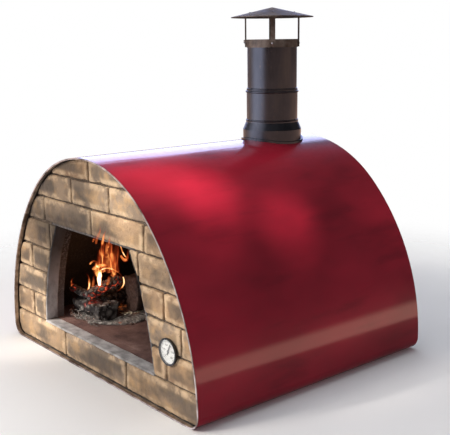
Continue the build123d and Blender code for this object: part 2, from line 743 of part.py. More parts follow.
with BuildPart(mode=Mode.PRIVATE) as screw:
    with BuildSketch(Plane.XZ.offset(CLAMP_GRIP)):
        with Locations((CLAMP_X, CLAMP_Z)):
            Circle(CLAMP_SCREW)
    extrude(amount=-2 * CLAMP_GRIP - CLAMP_TAIL)
    with BuildSketch(Plane.XZ.offset(CLAMP_GRIP)):
        with Locations((CLAMP_X, CLAMP_Z)):
            Circle(CLAMP_HEAD)
    extrude(amount=CLAMP_HEAD_HEIGHT)

with BuildPart(mode=Mode.PRIVATE) as nut:
    with BuildSketch(Plane.XZ.offset(-CLAMP_GRIP - CLAMP_NUT_HEIGHT)):
        with Locations((CLAMP_X, CLAMP_Z)):
            RegularPolygon(CLAMP_NUT, 6)
            Circle(CLAMP_SCREW + 0.05, mode=Mode.SUBTRACT)
    extrude(amount=CLAMP_NUT_HEIGHT)

cap_clamp_screw = about_flue(screw.part, CLAMP_ANGLE)[0]
cap_clamp_nut = about_flue(nut.part, CLAMP_ANGLE)[0]


# ---------------------------------------------------------------- thermometer

DIAL_BACK = BRICK_FACE - 0.6
DIAL_FRONT = BRICK_FACE - DIAL_DEPTH
CASE_WALL = 1.5
DIAL_SHEET = 0.8
BEZEL_ROUND = 1.2
GLASS = 1.2
GLASS_INSET = 0.8


def dial_disc(radius, back, front, hole=0.0):
    """Disc or ring on the thermometer's axis, between two depths."""
    with BuildPart(mode=Mode.PRIVATE) as disc:
        with BuildSketch(across(back)):
            with Locations((DIAL_X, DIAL_Z)):
                Circle(radius)
                if hole:
                    Circle(hole, mode=Mode.SUBTRACT)
        extrude(amount=back - front)
    return disc.part


SPINDLE_RADIUS = 0.8
DIAL_FACE = DIAL_FRONT + 3.9
with BuildPart() as thermometer_case:
    add(dial_disc(DIAL_CASE_RADIUS - BEZEL_ROUND, DIAL_BACK, DIAL_FACE + DIAL_SHEET))
    add(dial_disc(DIAL_RADIUS, DIAL_BACK - CASE_WALL, DIAL_FRONT), mode=Mode.SUBTRACT)
    add(dial_disc(STEM_RADIUS, DIAL_BACK, DIAL_BACK - CASE_WALL), mode=Mode.SUBTRACT)

with BuildPart() as thermometer_bezel:
    add(dial_disc(DIAL_CASE_RADIUS, DIAL_FACE + DIAL_SHEET - 0.2, DIAL_FRONT, DIAL_RADIUS + 0.1))
    fillet(thermometer_bezel.edges().filter_by(GeomType.CIRCLE).group_by(Axis.Y)[0], BEZEL_ROUND)

thermometer_glass = dial_disc(DIAL_RADIUS, DIAL_FRONT + GLASS_INSET + GLASS, DIAL_FRONT + GLASS_INSET)
thermometer_dial = dial_disc(DIAL_RADIUS, DIAL_FACE + DIAL_SHEET, DIAL_FACE, SPINDLE_RADIUS + 0.05)

NEEDLE_THICKNESS = 0.7
NEEDLE_BACK = DIAL_FACE - NEEDLE_THICKNESS
NEEDLE_HUB = 3.4
NEEDLE_TAIL = 8.0
NEEDLE_LENGTH = 19.5
NEEDLE_HALF = 1.7
needle_right = [(NEEDLE_HALF, -NEEDLE_TAIL), (NEEDLE_HALF, NEEDLE_LENGTH / 2), (0.5, NEEDLE_LENGTH)]
needle_outline = needle_right + [(-x, z) for x, z in reversed(needle_right)]
with BuildPart() as thermometer_needle:
    with BuildSketch(across(NEEDLE_BACK)):
        with Locations(Location((DIAL_X, DIAL_Z, 0), (0, 0, -NEEDLE_ANGLE))):
            Circle(NEEDLE_HUB)
            Polygon(*needle_outline, align=None)
        with Locations((DIAL_X, DIAL_Z)):
            Circle(SPINDLE_RADIUS, mode=Mode.SUBTRACT)
    extrude(amount=NEEDLE_THICKNESS)

STEM_BACK = DIAL_BACK + STEM
needle_spindle = dial_disc(SPINDLE_RADIUS, STEM_BACK - 48, NEEDLE_BACK - 0.9)

with BuildPart() as thermometer_stem:
    add(dial_disc(STEM_RADIUS, STEM_BACK, DIAL_BACK - CASE_WALL))
    add(dial_disc(STEM_RADIUS - 0.8, STEM_BACK - 1.0, DIAL_BACK - CASE_WALL - 1), mode=Mode.SUBTRACT)

COIL_RADIUS = 1.6
COIL_WIRE = 0.3
COIL_PITCH = 2.4
COIL_LENGTH = 46.0
with BuildPart() as bimetal_coil:
    with BuildLine() as coil_line:
        coil_end = (DIAL_X, STEM_BACK - 4, DIAL_Z)
        Helix(COIL_PITCH, COIL_LENGTH, COIL_RADIUS, center=coil_end, direction=(0, -1, 0))
    with BuildSketch(Plane(origin=coil_line.line @ 0, z_dir=coil_line.line % 0)):
        Circle(COIL_WIRE)
    sweep(is_frenet=True)

NUT = 5.0
NUT_RADIUS = 8.0
thermometer_bushing = dial_disc(BUSHING_RADIUS, SLAB_BACK + NUT + 1.5, BRICK_FACE, STEM_RADIUS + 0.06)
with BuildPart() as thermometer_nut:
    with BuildSketch(across(SLAB_BACK + NUT)):
        with Locations((DIAL_X, DIAL_Z)):
            RegularPolygon(NUT_RADIUS, 6)
            Circle(BUSHING_RADIUS + 0.05, mode=Mode.SUBTRACT)
    extrude(amount=NUT)


# ---------------------------------------------------------------- fire

ASH = 5.0
LOG_BED = FLOOR_TOP + ASH + GAP
EMBER_HALF = 22.0
CHARRED_RADIUS = 28.0
SPLIT_HALF = 49.0
BURNING_RADIUS = 15.0
BRANCH_RADIUS = 11.0

with BuildPart() as ash_bed:
    with BuildSketch(Plane.XY.offset(FLOOR_TOP)):
        with Locations((-165, -172)):
            Ellipse(105, 100)
    extrude(amount=ASH, taper=60)


def log(start, end, outline):
    """Straight piece of firewood from start to end, with an outline around its middle."""
    direction = Vector(*end) - Vector(*start)
    level = direction.cross(Vector(0, 0, 1))
    with BuildPart(mode=Mode.PRIVATE) as piece:
        with BuildSketch(Plane(origin=start, x_dir=level, z_dir=direction)):
            with BuildLine():
                Polyline(*outline, close=True)
            make_face()
        extrude(amount=direction.length)
    return piece.part


def round_outline(radius, sides=8):
    """Corners of a log that was never split."""
    return [polar((0, 0), radius, 360 * i / sides) for i in range(sides)]


ember_outline = [(-34, -EMBER_HALF), (34, -EMBER_HALF), (36, 0), (20, EMBER_HALF), (-22, EMBER_HALF)]
split_outline = [(-31, -SPLIT_HALF), (29, -SPLIT_HALF), (33, -10), (24, 34), (6, SPLIT_HALF), (-26, 40)]
EMBER_Z = LOG_BED + EMBER_HALF
CHARRED_Z = LOG_BED + CHARRED_RADIUS
SPLIT_Z = LOG_BED + SPLIT_HALF
ember_log = log((-238, -234, EMBER_Z), (-112, -228, EMBER_Z), ember_outline)
charred_log = log((-217, -188, CHARRED_Z), (-205, 40, CHARRED_Z), round_outline(CHARRED_RADIUS))
split_log = log((-124, -157, SPLIT_Z), (-132, 92, SPLIT_Z), split_outline)
burning_log = log((-168, -260, 137), (-158, -165, 168), round_outline(BURNING_RADIUS))
branch_log = log((-268, -244, 134), (-188, -248, 134), round_outline(BRANCH_RADIUS))


# ---------------------------------------------------------------- files

pieces = {
    "casing_shell": casing_shell,
    "front_edge_trim": front_edge_trim,
    "base_pan": base_pan,
    "rear_panel": rear_panel,
    "rear_panel_screws": rear_panel_screws,
    "mortar_joints": mortar_joints,
    "backing_slab": backing_slab,
    "mouth_sill": mouth_sill,
    "mouth_jamb_left": mouth_jamb_left,
    "mouth_jamb_right": mouth_jamb_right,
    "mouth_lintel": mouth_lintel,
    "floor_insulation_board": floor_insulation_board,
    "hearth_tiles": hearth_tiles,
    "threshold_tile": threshold_tile,
    "flue_block": flue_block,
    "vault_mortar": vault_mortar,
    "vault_insulation": vault_insulation,
    "rear_insulation": rear_insulation,
    "rear_wall_bricks": rear_wall_bricks,
    "collar_packing": collar_packing,
    "flue_collar": flue_collar,
    "flue_flashing": flue_flashing,
    "flue_pipe_lower": flue_pipe_lower,
    "flue_pipe_upper": flue_pipe_upper,
    "cap_band": cap_band,
    "cap_clamp_screw": cap_clamp_screw,
    "cap_clamp_nut": cap_clamp_nut,
    "cap_struts": cap_struts,
    "cap_rivets": cap_rivets,
    "cap_cone": cap_cone,
    "thermometer_case": thermometer_case,
    "thermometer_bezel": thermometer_bezel,
    "thermometer_glass": thermometer_glass,
    "thermometer_dial": thermometer_dial,
    "thermometer_needle": thermometer_needle,
    "needle_spindle": needle_spindle,
    "thermometer_stem": thermometer_stem,
    "bimetal_coil": bimetal_coil,
    "thermometer_bushing": thermometer_bushing,
    "thermometer_nut": thermometer_nut,
    "ash_bed": ash_bed,
    "ember_log": ember_log,
    "charred_log": charred_log,
    "split_log": split_log,
    "burning_log": burning_log,
    "branch_log": branch_log,
}
for number, course in enumerate(courses, 1):
    pieces[f"brick_course_{number}"] = course
for number, ring in enumerate(vault_rings, 1):
    pieces[f"vault_ring_{number}"] = ring

os.makedirs("parts", exist_ok=True)
for node, piece in pieces.items():
    shape = piece.part if isinstance(piece, BuildPart) else piece
    shape.label = node
    export_step(shape, f"parts/{node}.step")
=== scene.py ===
"""Looks of the wood fired oven: red casing, rough brick front, sooty chamber, stove pipe and fire."""

import math
import random

import bmesh
import bpy
import numpy as np
from mathutils import Matrix, Vector, noise


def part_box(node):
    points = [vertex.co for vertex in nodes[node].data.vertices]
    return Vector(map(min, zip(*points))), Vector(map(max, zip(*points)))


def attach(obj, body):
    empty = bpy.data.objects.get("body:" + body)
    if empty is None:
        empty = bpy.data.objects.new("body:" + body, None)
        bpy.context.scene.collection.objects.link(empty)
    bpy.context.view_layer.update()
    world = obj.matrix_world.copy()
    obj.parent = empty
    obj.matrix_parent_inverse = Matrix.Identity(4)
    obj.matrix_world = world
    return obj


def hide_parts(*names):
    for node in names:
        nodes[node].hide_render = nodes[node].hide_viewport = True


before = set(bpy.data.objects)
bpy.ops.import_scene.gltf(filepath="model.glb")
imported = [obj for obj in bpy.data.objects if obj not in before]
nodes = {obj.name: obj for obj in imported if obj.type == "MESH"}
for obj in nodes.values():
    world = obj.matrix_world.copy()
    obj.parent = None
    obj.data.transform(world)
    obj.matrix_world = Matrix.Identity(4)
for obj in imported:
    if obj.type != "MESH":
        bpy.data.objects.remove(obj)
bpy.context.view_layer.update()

MM = 0.001
scene = bpy.context.scene


# ---------------------------------------------------------------- materials


class Pattern:
    """Nodes that make patterns in one node tree, from a vector."""

    def __init__(self, tree, coordinates):
        self.tree = tree
        self.place = tree.nodes.new("ShaderNodeTexCoord").outputs[coordinates]

    def plug(self, socket, value):
        """Links a value to a socket, or sets the socket itself when the value is constant."""
        if isinstance(value, bpy.types.NodeSocket):
            self.tree.links.new(value, socket)
        elif isinstance(value, (tuple, list)):
            socket.default_value = (*value, 1.0) if len(socket.default_value) == 4 else value
        else:
            socket.default_value = value

    def stretch(self, x, y, z):
        """Coordinates scaled along each axis. Below 1, a pattern is drawn out along that axis."""
        node = self.tree.nodes.new("ShaderNodeMapping")
        self.plug(node.inputs["Vector"], self.place)
        node.inputs["Scale"].default_value = (x, y, z)
        return node.outputs["Vector"]

    def noise(self, size, detail=4.0, roughness=0.55, distortion=0.0, vector=None):
        """Soft noise with features of about this size in metres, from 0 to 1."""
        node = self.tree.nodes.new("ShaderNodeTexNoise")
        self.plug(node.inputs["Vector"], vector or self.place)
        node.inputs["Scale"].default_value = 1 / size
        node.inputs["Detail"].default_value = detail
        node.inputs["Roughness"].default_value = roughness
        node.inputs["Distortion"].default_value = distortion
        return node.outputs["Fac"]

    def cells(self, size):
        """Distance to the middle of the nearest cell, for cells of about this size in metres."""
        node = self.tree.nodes.new("ShaderNodeTexVoronoi")
        self.plug(node.inputs["Vector"], self.place)
        node.inputs["Scale"].default_value = 1 / size
        return node.outputs["Distance"]

    def attribute(self, name):
        """A value that the mesh stores at its points."""
        node = self.tree.nodes.new("ShaderNodeAttribute")
        node.attribute_name = name
        return node.outputs["Fac"]

    def axis(self, letter):
        node = self.tree.nodes.new("ShaderNodeSeparateXYZ")
        self.plug(node.inputs[0], self.place)
        return node.outputs[letter]

    def ramp(self, value, *stops):
        """Colours or greys along a value. Each stop is (position, colour or grey)."""
        node = self.tree.nodes.new("ShaderNodeValToRGB")
        elements = node.color_ramp.elements
        while len(elements) < len(stops):
            elements.new(0.5)
        for element, (position, colour) in zip(elements, stops):
            element.position = position
            grey = not isinstance(colour, (tuple, list))
            element.color = (colour, colour, colour, 1.0) if grey else (*colour, 1.0)
        self.plug(node.inputs["Fac"], value)
        return node.outputs["Color"]

    def span(self, value, low, high, to_low=0.0, to_high=1.0):
        """Smooth step from to_low, where the value is low, to to_high, where it is high."""
        node = self.tree.nodes.new("ShaderNodeMapRange")
        node.interpolation_type = "SMOOTHSTEP"
        self.plug(node.inputs["Value"], value)
        for name, number in zip(("From Min", "From Max", "To Min", "To Max"), (low, high, to_low, to_high)):
            node.inputs[name].default_value = number
        return node.outputs["Result"]

    def blend(self, factor, first, second):
        """The first colour where the factor is 0, the second where it is 1."""
        node = self.tree.nodes.new("ShaderNodeMix")
        node.data_type = "RGBA"
        self.plug(node.inputs["Factor"], factor)
        self.plug(node.inputs[6], first)
        self.plug(node.inputs[7], second)
        return node.outputs[2]

    def sums(self, operation, first, second, clamp=False):
        node = self.tree.nodes.new("ShaderNodeMath")
        node.operation = operation
        node.use_clamp = clamp
        self.plug(node.inputs[0], first)
        self.plug(node.inputs[1], second)
        return node.outputs[0]

    def times(self, first, second, clamp=False):
        return self.sums("MULTIPLY", first, second, clamp)

    def plus(self, first, second):
        return self.sums("ADD", first, second)

    def vectors(self, operation, first, second=(0, 0, 0), output="Vector"):
        node = self.tree.nodes.new("ShaderNodeVectorMath")
        node.operation = operation
        self.plug(node.inputs[0], first)
        self.plug(node.inputs[1], second)
        return node.outputs[output]

    def facing(self, azimuth, outer, inner):
        """1 within inner degrees of a compass direction, fading to 0 at outer degrees."""
        level = self.vectors("NORMALIZE", self.vectors("MULTIPLY", self.place, (1, 1, 0)))
        aim = (math.cos(math.radians(azimuth)), math.sin(math.radians(azimuth)), 0)
        low, high = math.cos(math.radians(outer)), math.cos(math.radians(inner))
        return self.span(self.vectors("DOT_PRODUCT", level, aim, "Value"), low, high)


class Shade(Pattern):
    """One procedural material. Its patterns are measured in metres, in the oven's own frame."""

    def __init__(self, name, metallic=0.0, roughness=0.5):
        self.material = bpy.data.materials.new(name)
        self.material.use_nodes = True
        super().__init__(self.material.node_tree, "Object")
        self.shader = self.tree.nodes["Principled BSDF"]
        self.shader.inputs["Metallic"].default_value = metallic
        self.shader.inputs["Roughness"].default_value = roughness

    def towards(self, centre):
        """1 on surfaces that face the line along Y through this point, 0 on those that face away."""
        outward = self.place.node.outputs["Normal"]
        middle = self.vectors("SUBTRACT", self.place, centre)
        flat = self.vectors("MULTIPLY", middle, (1, 0, 1))
        return self.span(self.vectors("DOT_PRODUCT", flat, outward, "Value"), -0.01, -0.03)

    def colour(self, value):
        self.plug(self.shader.inputs["Base Color"], value)
        return self

    def roughness(self, value):
        self.plug(self.shader.inputs["Roughness"], value)
        return self

    def glow(self, colour, strength):
        self.plug(self.shader.inputs["Emission Color"], colour)
        self.plug(self.shader.inputs["Emission Strength"], strength)

    def relief(self, height, depth):
        """Bump whose full height stands for this depth in metres, on top of any bump so far."""
        node = self.tree.nodes.new("ShaderNodeBump")
        node.inputs["Distance"].default_value = depth
        self.plug(node.inputs["Height"], height)
        if self.shader.inputs["Normal"].links:
            self.plug(node.inputs["Normal"], self.shader.inputs["Normal"].links[0].from_socket)
        self.plug(self.shader.inputs["Normal"], node.outputs["Normal"])
        return self


def red_enamel():
    """Glossy red enamel on the outside of the casing, its soft mottle and streaks painted reflections and
    dappled light; uncoated on its inner face, painted near-black there as shade of the recess behind the
    front rim.
    """
    shade = Shade("red_enamel", roughness=0.32)
    shade.shader.inputs["Specular IOR Level"].default_value = 0.3
    shade.shader.inputs["Coat Roughness"].default_value = 0.06
    # Brighter and darker red in soft patches, and darker streaks drawn out along Y: painted reflections and
    # dappled light on the enamel
    painted_reflection_mottle = shade.noise(0.20, detail=3.0, vector=shade.stretch(1.0, 0.5, 1.0))
    dust = shade.noise(0.012, detail=6.0)
    base = shade.ramp(painted_reflection_mottle, (0.32, (0.185, 0.006, 0.016)), (0.66, (0.36, 0.012, 0.030)))
    streak = shade.noise(0.05, detail=4.0, vector=shade.stretch(1.0, 0.22, 1.0))
    base = shade.blend(shade.span(streak, 0.50, 0.72, 0.0, 0.55), base, (0.13, 0.004, 0.012))
    base = shade.blend(shade.span(dust, 0.64, 0.82, 0.0, 0.10), base, (0.36, 0.10, 0.10))
    # The inner face carries no coat; its near-black colour is painted shade of the recess behind the front
    # rim
    inside_with_painted_shade = shade.towards((0, 0, 0.2))
    shade.colour(shade.blend(inside_with_painted_shade, base, (0.030, 0.024, 0.022)))
    shade.plug(shade.shader.inputs["Coat Weight"], shade.sums("SUBTRACT", 1.0, inside_with_painted_shade))
    shade.roughness(shade.span(dust, 0.35, 0.75, 0.28, 0.38))
    shade.relief(shade.noise(0.17, detail=2.0, vector=shade.stretch(1.0, 0.25, 1.0)), 0.0012)
    shade.relief(shade.noise(0.035, detail=3.0, vector=shade.stretch(1.0, 0.14, 1.0)), 0.0004)
    return shade.relief(shade.noise(0.0022, detail=2.0), 0.00003).material


def edge_steel():
    shade = Shade("edge_steel", metallic=0.9)
    grime = shade.noise(0.03, detail=6.0)
    shade.colour(shade.ramp(grime, (0.35, (0.20, 0.15, 0.12)), (0.62, (0.66, 0.58, 0.52))))
    shade.roughness(shade.span(grime, 0.3, 0.7, 0.55, 0.32))
    return shade.relief(shade.noise(0.004, detail=4.0), 0.0002).material


def dark_sheet():
    shade = Shade("speckled_pan", metallic=0.4)
    speck = shade.noise(0.006, detail=8.0, roughness=0.7)
    shade.colour(shade.ramp(
        speck, (0.40, (0.045, 0.040, 0.038)), (0.56, (0.15, 0.135, 0.12)), (0.68, (0.34, 0.30, 0.26))
    ))
    shade.roughness(shade.span(speck, 0.3, 0.7, 0.45, 0.75))
    return shade.relief(speck, 0.0003).material


def galvanised():
    shade = Shade("galvanised_sheet", metallic=0.35)
    spangle = shade.cells(0.022)
    shade.colour(shade.ramp(spangle, (0.1, (0.42, 0.44, 0.46)), (0.8, (0.62, 0.64, 0.66))))
    shade.roughness(shade.span(shade.noise(0.03), 0.3, 0.7, 0.34, 0.5))
    return shade.relief(spangle, 0.00008).material


def plated(name, tint, roughness):
    shade = Shade(name, metallic=1.0)
    grime = shade.noise(0.004, detail=5.0)
    dull = tuple(c * 0.35 for c in tint)
    shade.colour(shade.ramp(grime, (0.3, dull), (0.6, tint)))
    shade.roughness(shade.span(grime, 0.3, 0.7, roughness + 0.2, roughness))
    return shade.relief(grime, 0.00006).material


def stove_pipe():
    shade = Shade("stove_pipe", metallic=0.9)
    streak = shade.noise(0.05, detail=6.0, vector=shade.stretch(1.0, 1.0, 0.18))
    fleck = shade.noise(0.006, detail=6.0)
    base = shade.ramp(
        streak, (0.36, (0.062, 0.066, 0.080)), (0.55, (0.100, 0.106, 0.124)), (0.70, (0.155, 0.155, 0.160))
    )
    shade.colour(shade.blend(shade.span(fleck, 0.62, 0.76, 0.0, 0.5), base, (0.26, 0.20, 0.15)))
    shade.roughness(shade.span(streak, 0.3, 0.7, 0.26, 0.40))
    shade.relief(shade.noise(0.05, detail=2.0), 0.0006)
    return shade.relief(fleck, 0.00006).material


def cap_sheet():
    shade = Shade("weathered_cap", metallic=0.55)
    patch = shade.noise(0.03, detail=7.0, roughness=0.65)
    fleck = shade.noise(0.004, detail=5.0)
    shade.colour(shade.ramp(
        patch, (0.34, (0.055, 0.043, 0.036)), (0.5, (0.16, 0.125, 0.10)), (0.68, (0.30, 0.25, 0.21))
    ))
    shade.roughness(shade.span(patch, 0.3, 0.7, 0.42, 0.68))
    shade.relief(patch, 0.0006)
    return shade.relief(fleck, 0.00015).material


def face_brick():
    """Tan brick with painted cream highlights along its rounded edges, and soft grey-brown stains that run
    from brick to brick, deepened towards each brick's middle as painted shade.
    """
    shade = Shade("face_brick", roughness=0.9)
    tone = shade.attribute("tone")
    middle = shade.attribute("middle")
    stain = shade.noise(0.10, detail=3.0, roughness=0.5, distortion=0.3)
    blotch = shade.noise(0.032, detail=4.0, roughness=0.6)
    mottle = shade.noise(0.013, detail=6.0, roughness=0.65)
    grain = shade.noise(0.005, detail=8.0, roughness=0.72)
    base = shade.ramp(
        tone, (0.0, (0.44, 0.280, 0.160)), (0.5, (0.37, 0.262, 0.170)), (1.0, (0.30, 0.228, 0.168))
    )
    base = shade.blend(shade.span(blotch, 0.42, 0.68, 0.0, 0.8), base, (0.54, 0.35, 0.185))
    # Grey-brown stains, weighted towards each brick's middle: real stains, deepened there as painted shade
    stain_and_middle_shade = shade.times(shade.span(stain, 0.38, 0.62, 0.05, 0.85), shade.span(middle, 0.0, 0.9, 0.5, 1.0))
    base = shade.blend(stain_and_middle_shade, base, (0.100, 0.082, 0.068))
    # Cream towards the rims of each brick: painted highlight where the rounded edges catch the light
    painted_rim_highlight = shade.times(shade.span(middle, 0.65, 0.05), shade.span(blotch, 0.40, 0.62))
    base = shade.blend(shade.times(painted_rim_highlight, 0.7), base, (0.66, 0.50, 0.34))
    base = shade.blend(shade.span(grain, 0.46, 0.28, 0.0, 0.6), base, (0.070, 0.052, 0.042))
    soot = shade.times(shade.attribute("soot"), shade.span(blotch, 0.2, 0.6, 0.6, 1.0))
    shade.colour(shade.blend(soot, base, (0.030, 0.025, 0.023)))
    shade.relief(blotch, 0.007)
    shade.relief(mottle, 0.0020)
    return shade.relief(grain, 0.0010).material


def mortar():
    shade = Shade("mortar", roughness=0.95)
    grain = shade.noise(0.005, detail=7.0, roughness=0.7)
    shade.colour(shade.ramp(grain, (0.38, (0.055, 0.042, 0.034)), (0.68, (0.23, 0.175, 0.13))))
    return shade.relief(grain, 0.0018).material


def cement():
    """Grey trowelled cement that turns black towards the top of the mouth."""
    shade = Shade("sooty_cement", roughness=0.85)
    trowel = shade.noise(0.03, detail=6.0, vector=shade.stretch(1.0, 1.0, 0.5))
    grain = shade.noise(0.004, detail=6.0)
    base = shade.ramp(trowel, (0.32, (0.17, 0.165, 0.165)), (0.64, (0.46, 0.448, 0.450)))
    lift = shade.plus(shade.axis("Z"), shade.times(trowel, 0.16))
    soot = shade.span(lift, 0.22, 0.36, 0.0, 0.95)
    shade.colour(shade.blend(soot, base, (0.020, 0.017, 0.016)))
    shade.relief(trowel, 0.002)
    return shade.relief(grain, 0.0008).material


def refractory(name, lower_colour, upper_colour, reach):
    """Rough castable or firebrick, lighter near the hearth, darker from about this height up."""
    shade = Shade(name, roughness=0.93)
    patch = shade.noise(0.06, detail=6.0)
    grain = shade.noise(0.005, detail=7.0, roughness=0.7)
    lift = shade.plus(shade.axis("Z"), shade.times(patch, 0.16))
    base = shade.blend(shade.span(lift, 0.10, reach), lower_colour, upper_colour)
    base = shade.blend(shade.span(grain, 0.45, 0.75, 0.0, 0.5), base, tuple(c * 1.7 for c in lower_colour))
    shade.colour(base)
    shade.relief(patch, 0.003)
    return shade.relief(grain, 0.0015).material


def hearth():
    """Fireclay tile, scorched reddish brown with a little ash trodden in."""
    shade = Shade("hearth_tile", roughness=0.9)
    worn = shade.noise(0.05, detail=7.0, roughness=0.65)
    grit = shade.noise(0.004, detail=6.0)
    base = shade.ramp(
        worn, (0.30, (0.080, 0.046, 0.042)), (0.55, (0.180, 0.105, 0.092)), (0.75, (0.28, 0.19, 0.165))
    )
    shade.colour(shade.blend(shade.span(grit, 0.58, 0.78, 0.0, 0.5), base, (0.34, 0.28, 0.25)))
    return shade.relief(grit, 0.001).material


def blanket():
    shade = Shade("ceramic_blanket", roughness=1.0)
    fibre = shade.noise(0.004, detail=8.0, distortion=2.0)
    shade.colour(shade.ramp(fibre, (0.3, (0.72, 0.70, 0.66)), (0.7, (0.92, 0.91, 0.88))))
    return shade.relief(fibre, 0.002).material


def satin_black():
    shade = Shade("satin_black", roughness=0.34)
    rub = shade.noise(0.01, detail=5.0)
    shade.colour(shade.ramp(rub, (0.4, (0.010, 0.010, 0.011)), (0.72, (0.045, 0.043, 0.042))))
    shade.roughness(shade.span(rub, 0.3, 0.7, 0.26, 0.45))
    return shade.relief(rub, 0.00008).material


def dial_white():
    shade = Shade("dial_print", roughness=0.6)
    age = shade.noise(0.012, detail=5.0)
    shade.colour(shade.ramp(age, (0.3, (0.70, 0.70, 0.67)), (0.6, (0.86, 0.87, 0.86))))
    return shade.relief(age, 0.00003).material


def dial_glass():
    shade = Shade("dial_glass", roughness=0.03)
    smear = shade.noise(0.01, detail=4.0)
    shade.shader.inputs["Alpha"].default_value = 0.12
    shade.colour(shade.ramp(smear, (0.3, (0.80, 0.84, 0.86)), (0.7, (0.92, 0.94, 0.95))))
    return shade.roughness(shade.span(smear, 0.3, 0.7, 0.02, 0.09)).material


def split_wood():
    """Raw split face, dull brown along the grain, dusty and scorched in places."""
    shade = Shade("split_wood", roughness=0.9)
    grain = shade.noise(0.006, detail=7.0, distortion=0.8, vector=shade.stretch(1.0, 0.10, 1.0))
    patch = shade.noise(0.035, detail=5.0)
    base = shade.ramp(
        grain, (0.32, (0.030, 0.019, 0.017)), (0.50, (0.055, 0.035, 0.030)), (0.70, (0.095, 0.064, 0.052))
    )
    shade.colour(shade.blend(shade.span(patch, 0.54, 0.72, 0.0, 0.7), base, (0.022, 0.017, 0.016)))
    return shade.relief(grain, 0.0020).material


def charred_wood():
    """Cracked charcoal with white ash on its ridges and embers glowing in the cracks."""
    shade = Shade("charred_wood", roughness=0.85)
    crack = shade.attribute("crack")
    ash = shade.noise(0.012, detail=7.0, roughness=0.7)
    heat = shade.attribute("hotness")
    base = shade.ramp(
        crack, (0.0, (0.010, 0.008, 0.008)), (0.55, (0.045, 0.040, 0.038)), (1.0, (0.13, 0.12, 0.112))
    )
    shade.colour(shade.blend(shade.span(ash, 0.54, 0.68, 0.0, 0.85), base, (0.34, 0.33, 0.31)))
    ember = shade.times(shade.span(crack, 0.45, 0.0), heat)
    ember = shade.times(ember, shade.span(shade.noise(0.02, detail=3.0), 0.38, 0.62))
    shade.glow(shade.ramp(ember, (0.0, (0.75, 0.03, 0.02)), (0.8, (1.0, 0.16, 0.06))), ember)
    return shade.relief(ash, 0.001).material


def clinker():
    """Crust of burnt-out ash, pale and slightly yellow, brightened beyond the ash's own colour as painted
    sunlight.
    """
    shade = Shade("clinker", roughness=1.0)
    crust = shade.noise(0.006, detail=6.0, roughness=0.7)
    # The palest, yellowish flecks are painted sunlight on the ash crust
    shade.colour(shade.ramp(
        crust, (0.36, (0.16, 0.14, 0.10)), (0.50, (0.52, 0.48, 0.36)), (0.62, (0.84, 0.80, 0.68))
    ))
    return shade.relief(crust, 0.002).material


def loose_ash():
    """Grey ash and charcoal crumbs, with a few embers left in them."""
    shade = Shade("loose_ash", roughness=1.0)
    lump = shade.noise(0.010, detail=7.0, roughness=0.7)
    shade.colour(shade.ramp(
        lump, (0.34, (0.035, 0.030, 0.028)), (0.50, (0.17, 0.155, 0.145)), (0.66, (0.52, 0.49, 0.45))
    ))
    ember = shade.times(shade.attribute("hotness"), shade.span(shade.noise(0.014, detail=2.0), 0.50, 0.66))
    shade.glow((1.0, 0.20, 0.03), shade.times(ember, 0.5))
    return shade.relief(lump, 0.003).material


def flame():
    """Thin glowing sheet: orange and see-through, brighter in its streaks, frayed at edges and tip."""
    shade = Shade("flame", roughness=1.0)
    rise = shade.attribute("rise")
    body = shade.attribute("body")
    heat = shade.attribute("hotness")
    lick = shade.noise(0.022, detail=3.0, distortion=1.2, vector=shade.stretch(1.0, 1.0, 0.30))
    streak = shade.span(lick, 0.42, 0.62)
    dense = shade.times(shade.span(body, 0.0, 0.7), shade.span(rise, 1.0, 0.4))
    warmth = shade.plus(heat, shade.times(streak, 0.22))
    core = shade.times(dense, warmth, clamp=True)
    shade.colour((0.0, 0.0, 0.0))
    shade.shader.inputs["Specular IOR Level"].default_value = 0.0
    hot = shade.ramp(
        core,
        (0.0, (0.60, 0.035, 0.010)),
        (0.22, (0.90, 0.13, 0.03)),
        (0.50, (1.0, 0.40, 0.10)),
        (0.85, (1.0, 0.84, 0.55)),
    )
    shade.glow(hot, shade.span(core, 0.0, 0.9, 0.75, 3.2))
    cover = shade.plus(shade.times(heat, 0.95), shade.times(streak, 0.35))
    shade.plug(shade.shader.inputs["Alpha"], shade.times(dense, cover, clamp=True))
    return shade.material


def pale_floor():
    """Pale floor that fades out into the white surround."""
    shade = Shade("pale_floor", roughness=0.8)
    tint = shade.noise(0.6, detail=2.0)
    away = shade.vectors("LENGTH", shade.place, output="Value")
    shade.plug(shade.shader.inputs["Alpha"], shade.span(away, 1.7, 0.65))
    return shade.colour(shade.ramp(tint, (0.3, (0.82, 0.82, 0.82)), (0.7, (0.86, 0.86, 0.86)))).material


# ---------------------------------------------------------------- mesh tools


def new_piece(name, mesh, material, body="oven"):
    """An object for this mesh, riding on a body."""
    piece = bpy.data.objects.new(name, mesh)
    scene.collection.objects.link(piece)
    piece.data.materials.clear()
    piece.data.materials.append(material)
    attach(piece, body)
    return piece


def apply_modifiers(piece):
    """Turns the piece's modifiers into its mesh."""
    depsgraph = bpy.context.evaluated_depsgraph_get()
    mesh = bpy.data.meshes.new_from_object(piece.evaluated_get(depsgraph))
    piece.modifiers.clear()
    old = piece.data
    piece.data = mesh
    bpy.data.meshes.remove(old)


def slide_apart(mesh, gap):
    """Slides loose solids along X, in order, so that each gains this gap. A negative gap puts them back."""
    builder = bmesh.new()
    builder.from_mesh(mesh)
    bmesh.ops.remove_doubles(builder, verts=builder.verts, dist=1e-6)
    builder.to_mesh(mesh)
    builder.free()
    co = points(mesh)
    group = islands(mesh)
    middles = [co[group == number, 0].mean() for number in range(group.max() + 1)]
    order = np.argsort(np.argsort(middles))
    co[:, 0] += order[group] * gap
    place(mesh, co)


